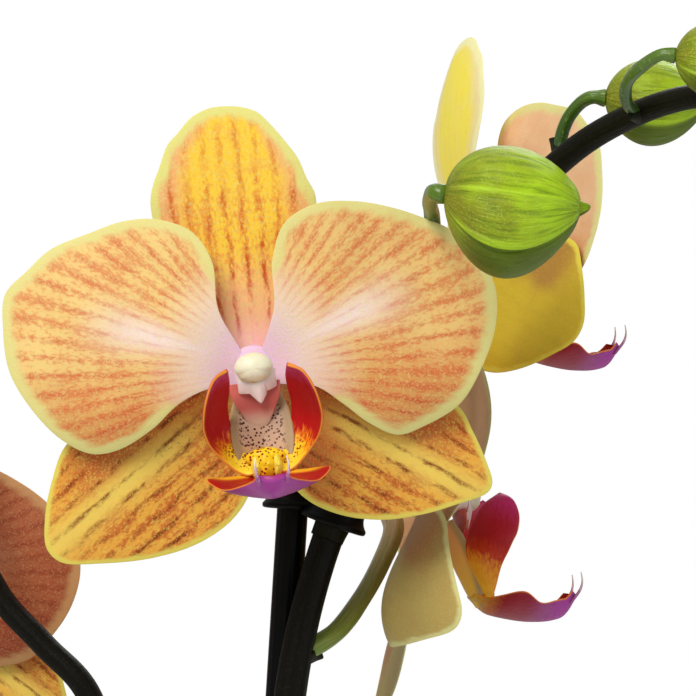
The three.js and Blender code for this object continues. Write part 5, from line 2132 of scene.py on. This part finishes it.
BUDS = (
    Bud("bud_1", (40.6, -61.5, 456.6), (65.9, -62.5, 454.3), 12.1, 2.2,
        ((42.6, -18.2, 438.6), (41, -27, 446.5), (39.8, -32.5, 451), (39.3, -36.5, 454.2),
         (38.7, -45, 455.8), (38.6, -53, 456.9), (39, -59, 457.2)),
        ((163.0, 1.0), (217.0, -1.0), (40.0, 0.7)), run_in=1.0),
    Bud("bud_2", (69.6, -49.6, 474.4), (88.6, -50.4, 473.4), 8, 0.6,
        ((62.4, -44.8, 463.6), (62.2, -44.2, 467.2), (63.3, -45, 470.8), (65.4, -47, 473.6))),
    Bud("bud_3", (77.9, -83, 478.2), (92.8, -85, 477), 6.5, 0.4,
        ((74.2, -62.6, 470.4), (71.6, -68, 471.6), (70.9, -74, 474.4), (72.6, -79.6, 476.6))),
    Bud("bud_4", (92.4, -71.4, 478), (102.4, -66, 477), 4.6, 0.3, ((87.4, -76.6, 472.8), (87.2, -75, 476))),
    Bud("bud_5", (107.45, -88.25, 466.8), (114.4, -91, 462.5), 3.2, 0),
    Bud("bud_6", (-146.6, 121.6, 432.6), (-158.4, 136, 424), 8.4, 0.6,
        ((-143.6, 110.8, 434.2), (-142.6, 114, 437))),
    Bud("bud_7", (-161.6, 113.4, 412.2), (-166.4, 122, 398), 6.4, 0.3,
        ((-159, 109.4, 424.2), (-158.6, 111.6, 420.4))),
    Bud("bud_8", (-177.2, 112, 412.6), (-185.6, 119, 412), 4.6, 0.2,
        ((-173.2, 105.6, 411.8), (-173, 107.4, 412.6))),
    Bud("bud_9", (-187.4, 100.85, 398), (-193, 98.1, 391.2), 3.2, 0),
)
STEM_ONE = Stem((
    (1.4, -5, 114), (4, -15.8, 119.4), (5.4, -18.8, 127), (7.6, -19, 150), (10.4, -14.8, 250),
    (11.4, -12.6, 310), (12.84, -10, 363), (20.7, -7, 395), (34.1, -8, 423.8), (48.6, -25, 448.3),
    (63.4, -46.6, 464.6), (74.9, -63, 470.9), (83, -72.5, 472.6), (93.4, -80, 472.8),
    (107, -88, 467),
), (3.4, 3.25, 3.25, 3.25, 2.9, 2.45, 1.8))
STEM_TWO = Stem((
    (-1.4, 5, 116), (-3.2, 16.2, 120), (-4.4, 19.2, 129), (-6, 20.2, 150), (-12, 24, 250),
    (-21, 28, 318), (-29.7, 30, 357.8), (-39.3, 32, 368.1), (-48.8, 34, 378.2), (-58, 37, 398),
    (-62, 46, 420), (-67, 62, 436), (-80, 84, 443), (-102, 102, 446), (-130, 110, 440), (-155, 110, 427),
    (-172, 106, 413), (-187, 101, 398.4),
), (2.9, 2.7, 2.6, 2.5, 2.3, 1.8))
STAKE_ONE = Stake("stake_1", (-9.6, -22.6, 20), (13.6, -1, 406), 3.0)
STAKE_TWO = Stake("stake_2", (9.1, 19, 20), (-18.2, 35.6, 336))

ROOTS = (
    Root("root_1", ((4, -5, 105), (14, -18, 116), (24, -30, 115), (29, -34, 100), (30, -35, 84))),
    Root("root_2", ((-5, -4, 105), (-19, -15, 117), (-31, -22, 114), (-37, -25, 98), (-38, -25, 82))),
    Root("root_3", ((5, 4, 105), (18, 17, 117), (28, 26, 114), (32, 30, 98), (33, 31, 82))),
    Root("root_4", ((-5, 4, 106), (-22, 16, 120), (-40, 27, 125), (-53, 35.4, 127), (-61, 40, 118),
                    (-63, 41, 94))),
)
LEAVES = (
    StrapLeaf("leaf_1", 8, 113, 34, 178, 37, -34),
    StrapLeaf("leaf_2", 186, 116, 36, 186, 39, -32),
    StrapLeaf("leaf_3", -10, 123, 47, 192, 38, -22),
    StrapLeaf("leaf_4", 170, 127, 49, 188, 36, -18),
    StrapLeaf("leaf_5", 6, 134, 62, 160, 32, 4),
    StrapLeaf("leaf_6", 182, 140, 68, 122, 25, 24),
)
CLIPS = (
    Clip("clip_1", STAKE_ONE, STEM_ONE, 3.65, 395.5, rise=3.0),
    Clip("clip_2", STAKE_ONE, STEM_ONE, 3.25, 236),
    Clip("clip_3", STAKE_TWO, STEM_TWO, 2.7, 296),
)
SPIKES = (
    Spike("spike_1", STEM_ONE, (0.18, 0.37, 0.655), FLOWERS[:3], BUDS[:5]),
    Spike("spike_2", STEM_TWO, (0.14, 0.28, 0.455), FLOWERS[3:], BUDS[5:]),
)


def make_wardrobe() -> Wardrobe:
    """Make every finish of the plant, its pot and its supports.

    Returns:
        Finishes by name.
    """
    lobe_bands = ((0.0, "#f2dc48"), (0.2, "#f4c81c"), (0.27, "#e87818"), (0.34, "#b81414"),
                  (0.84, "#b00c18"), (1.0, "#c43c70"))
    outer_bands = ((0.0, "#e8b024"), (0.2, "#e0901c"), (0.34, "#b83010"), (0.48, "#a41418"),
                   (0.72, "#b0142c"), (1.0, "#c83078"))
    keel_bands = ((0.0, "#d0a83c"), (0.14, "#b86c20"), (0.28, "#94141c"), (0.55, "#941a38"),
                  (0.78, "#982c78"), (1.0, "#a84098"))
    yellow = ((0.0, "#f0c010"), (1.0, "#f6d020"))
    horn_bands = ((0.0, "#a85c98"), (0.45, "#cc9cbc"), (1.0, "#e8dcd4"))
    finishes = {
        "petal": TepalFinish(
            "petal_tissue_grown", "#ebca80", "#d89a56", "#d4683c", "#c8502c", "#dcd488", "#e8c0e0",
            "#eedcd8", "#ecc49c", "#d49054", "#dcd890"),
        # Painted shade: a darker copy of the petal finish for the shaded bloom_3.
        "petal_dusk": TepalFinish(
            "petal_tissue_grown_shaded", "#e0a868", "#d08848", "#b06a44", "#a85838", "#d8d088", "#e0b8d0",
            "#e8d0c8", "#dcaa78", "#c08450", "#d0c880"),
        # Partly a redder hue, partly painted shade: the darker petal copy for bloom_4, which stands in
        # shadow.
        "petal_rosy": TepalFinish(
            "petal_tissue_grown_rosy", "#a8603c", "#94482c", "#903c24", "#80301c", "#b88858", "#d0a0b0",
            "#b07860", "#b08060", "#a06840", "#c8b080", lines=0.7),
        "upper_sepal": TepalFinish(
            "upper_sepal_tissue_grown", "#f2c83c", "#e8a878", "#e07c34", "#c44c10", "#dcd880", "#f2b8c4",
            "#f6bc9c", "#f4e450", "#ecdca0", "#f0ecb0", 0.65, 0.9, 0.35),
        # The back's second colour, a darker olive, is painted shade on the fold of the sepal's back.
        "lower_sepal": TepalFinish(
            "lower_sepal_tissue_grown", "#e2a440", "#b86430", "#c4642a", "#7c300e", "#dccc5c", "#dcb080",
            "#e8cc60", "#c8ac2c", "#a87c34", "#d8c848", 0.95, 0.9, 0.35),
        # Painted light and shade: a paler, greyer copy of the lower sepal finish for the shaded bloom_3.
        "lower_sepal_dusk": TepalFinish(
            "lower_sepal_tissue_grown_shaded", "#dcd498", "#d4c090", "#c89860", "#b88048", "#dcd888",
            "#e8d0c0", "#dcd8a0", "#bca45c", "#b07c48", "#d8d490", 0.3, 0.3, 0.5),
        "side_lobe": LobeFinish(
            "side_lobe_tissue_waxy", lobe_bands, -14.1, 6.3, "#b98a70", -9.0, "#e08a2c", outer_bands,
            "#8a2408", 0.6, 0.2, slope=0.5),
        "claw": LobeFinish(
            "claw_tissue_waxy", ((0.0, "#f2c522"), (0.22, "#dca850"), (0.42, "#c8a080"), (0.75, "#c4a890"),
                                 (1.0, "#dcd0c4")), -20.0, -3.0, "#c97a66", -9.0, "#a88c64",
            ((0.0, "#e8b838"), (1.0, "#d89070")), "#4a1c10", 0.6, 2.2),
        "middle_lobe": LobeFinish(
            "middle_lobe_tissue_waxy", ((0.0, "#a00c10"), (0.7, "#b01414"), (1.0, "#c02c18")),
            -22.0, -14.0, "#f0a020", 10.4, "#ec8428", keel_bands, "#f2b024", 0.0, 0.25, (7.0, 25.0)),
        "callus": LobeFinish(
            "callus_tissue_waxy", yellow, -20.0, -14.0, "#f2c222", -9.0, "#f0dc50", yellow, "#96200e", 0.7),
        "horn": LobeFinish(
            "horn_tissue_waxy", horn_bands, -18.5, -15.0, "#f3d8e4", -9.0, "#f3d8e4", horn_bands),
        "column": ColumnFinish(),
        "bud": BudFinish(),
        "stem": StalkFinish(
            "spike_skin_dark", ((0.0, "#050402"), (0.4, "#0e0c06"), (0.7, "#262a10"), (1.0, "#4c5820")),
            "#20200f", "#1c1c10", 0.45, 0.12, 0.0),
        "stalk": StalkFinish(
            "stalk_skin_green",
            ((0.0, "#182008"), (0.35, "#2c4c0c"), (0.6, "#5c7c1c"), (0.8, "#a49c54"), (1.0, "#dcb08c")),
            "#7c9440", "#6a7c30", 0.3),
        "crown": StalkFinish(
            "crown_skin_scarred", ((0.0, "#5d4a2c"), (0.4, "#6c6e38"), (1.0, "#7f9a44")),
            "#a89a6c", "#7b6238", 0.55),
        "leaf": LeafFinish(),
        "root": RootFinish(),
        "bark": BarkFinish(),
        "glaze": GlazeFinish(),
        "plastic": MouldedFinish(),
        "paper": PaperFinish(),
    }
    return {name: finish.material() for name, finish in finishes.items()}


def main() -> None:
    """Build the plant from the pot upwards and report each piece."""
    logging.basicConfig(level=logging.INFO, format="%(message)s")
    wardrobe = make_wardrobe()
    parts = (Pot(), BarkBed(), Crown(), *ROOTS, *LEAVES, STAKE_ONE, STAKE_TWO, *CLIPS, *SPIKES, *FLOWERS,
             *BUDS)
    pieces = [piece for part in parts for piece in part.build(wardrobe)]
    Studio().build(wardrobe["paper"])
    for piece in pieces:
        log.info("%s: %d faces", piece.name, len(piece.data.polygons))


if __name__ == "__main__":
    main()
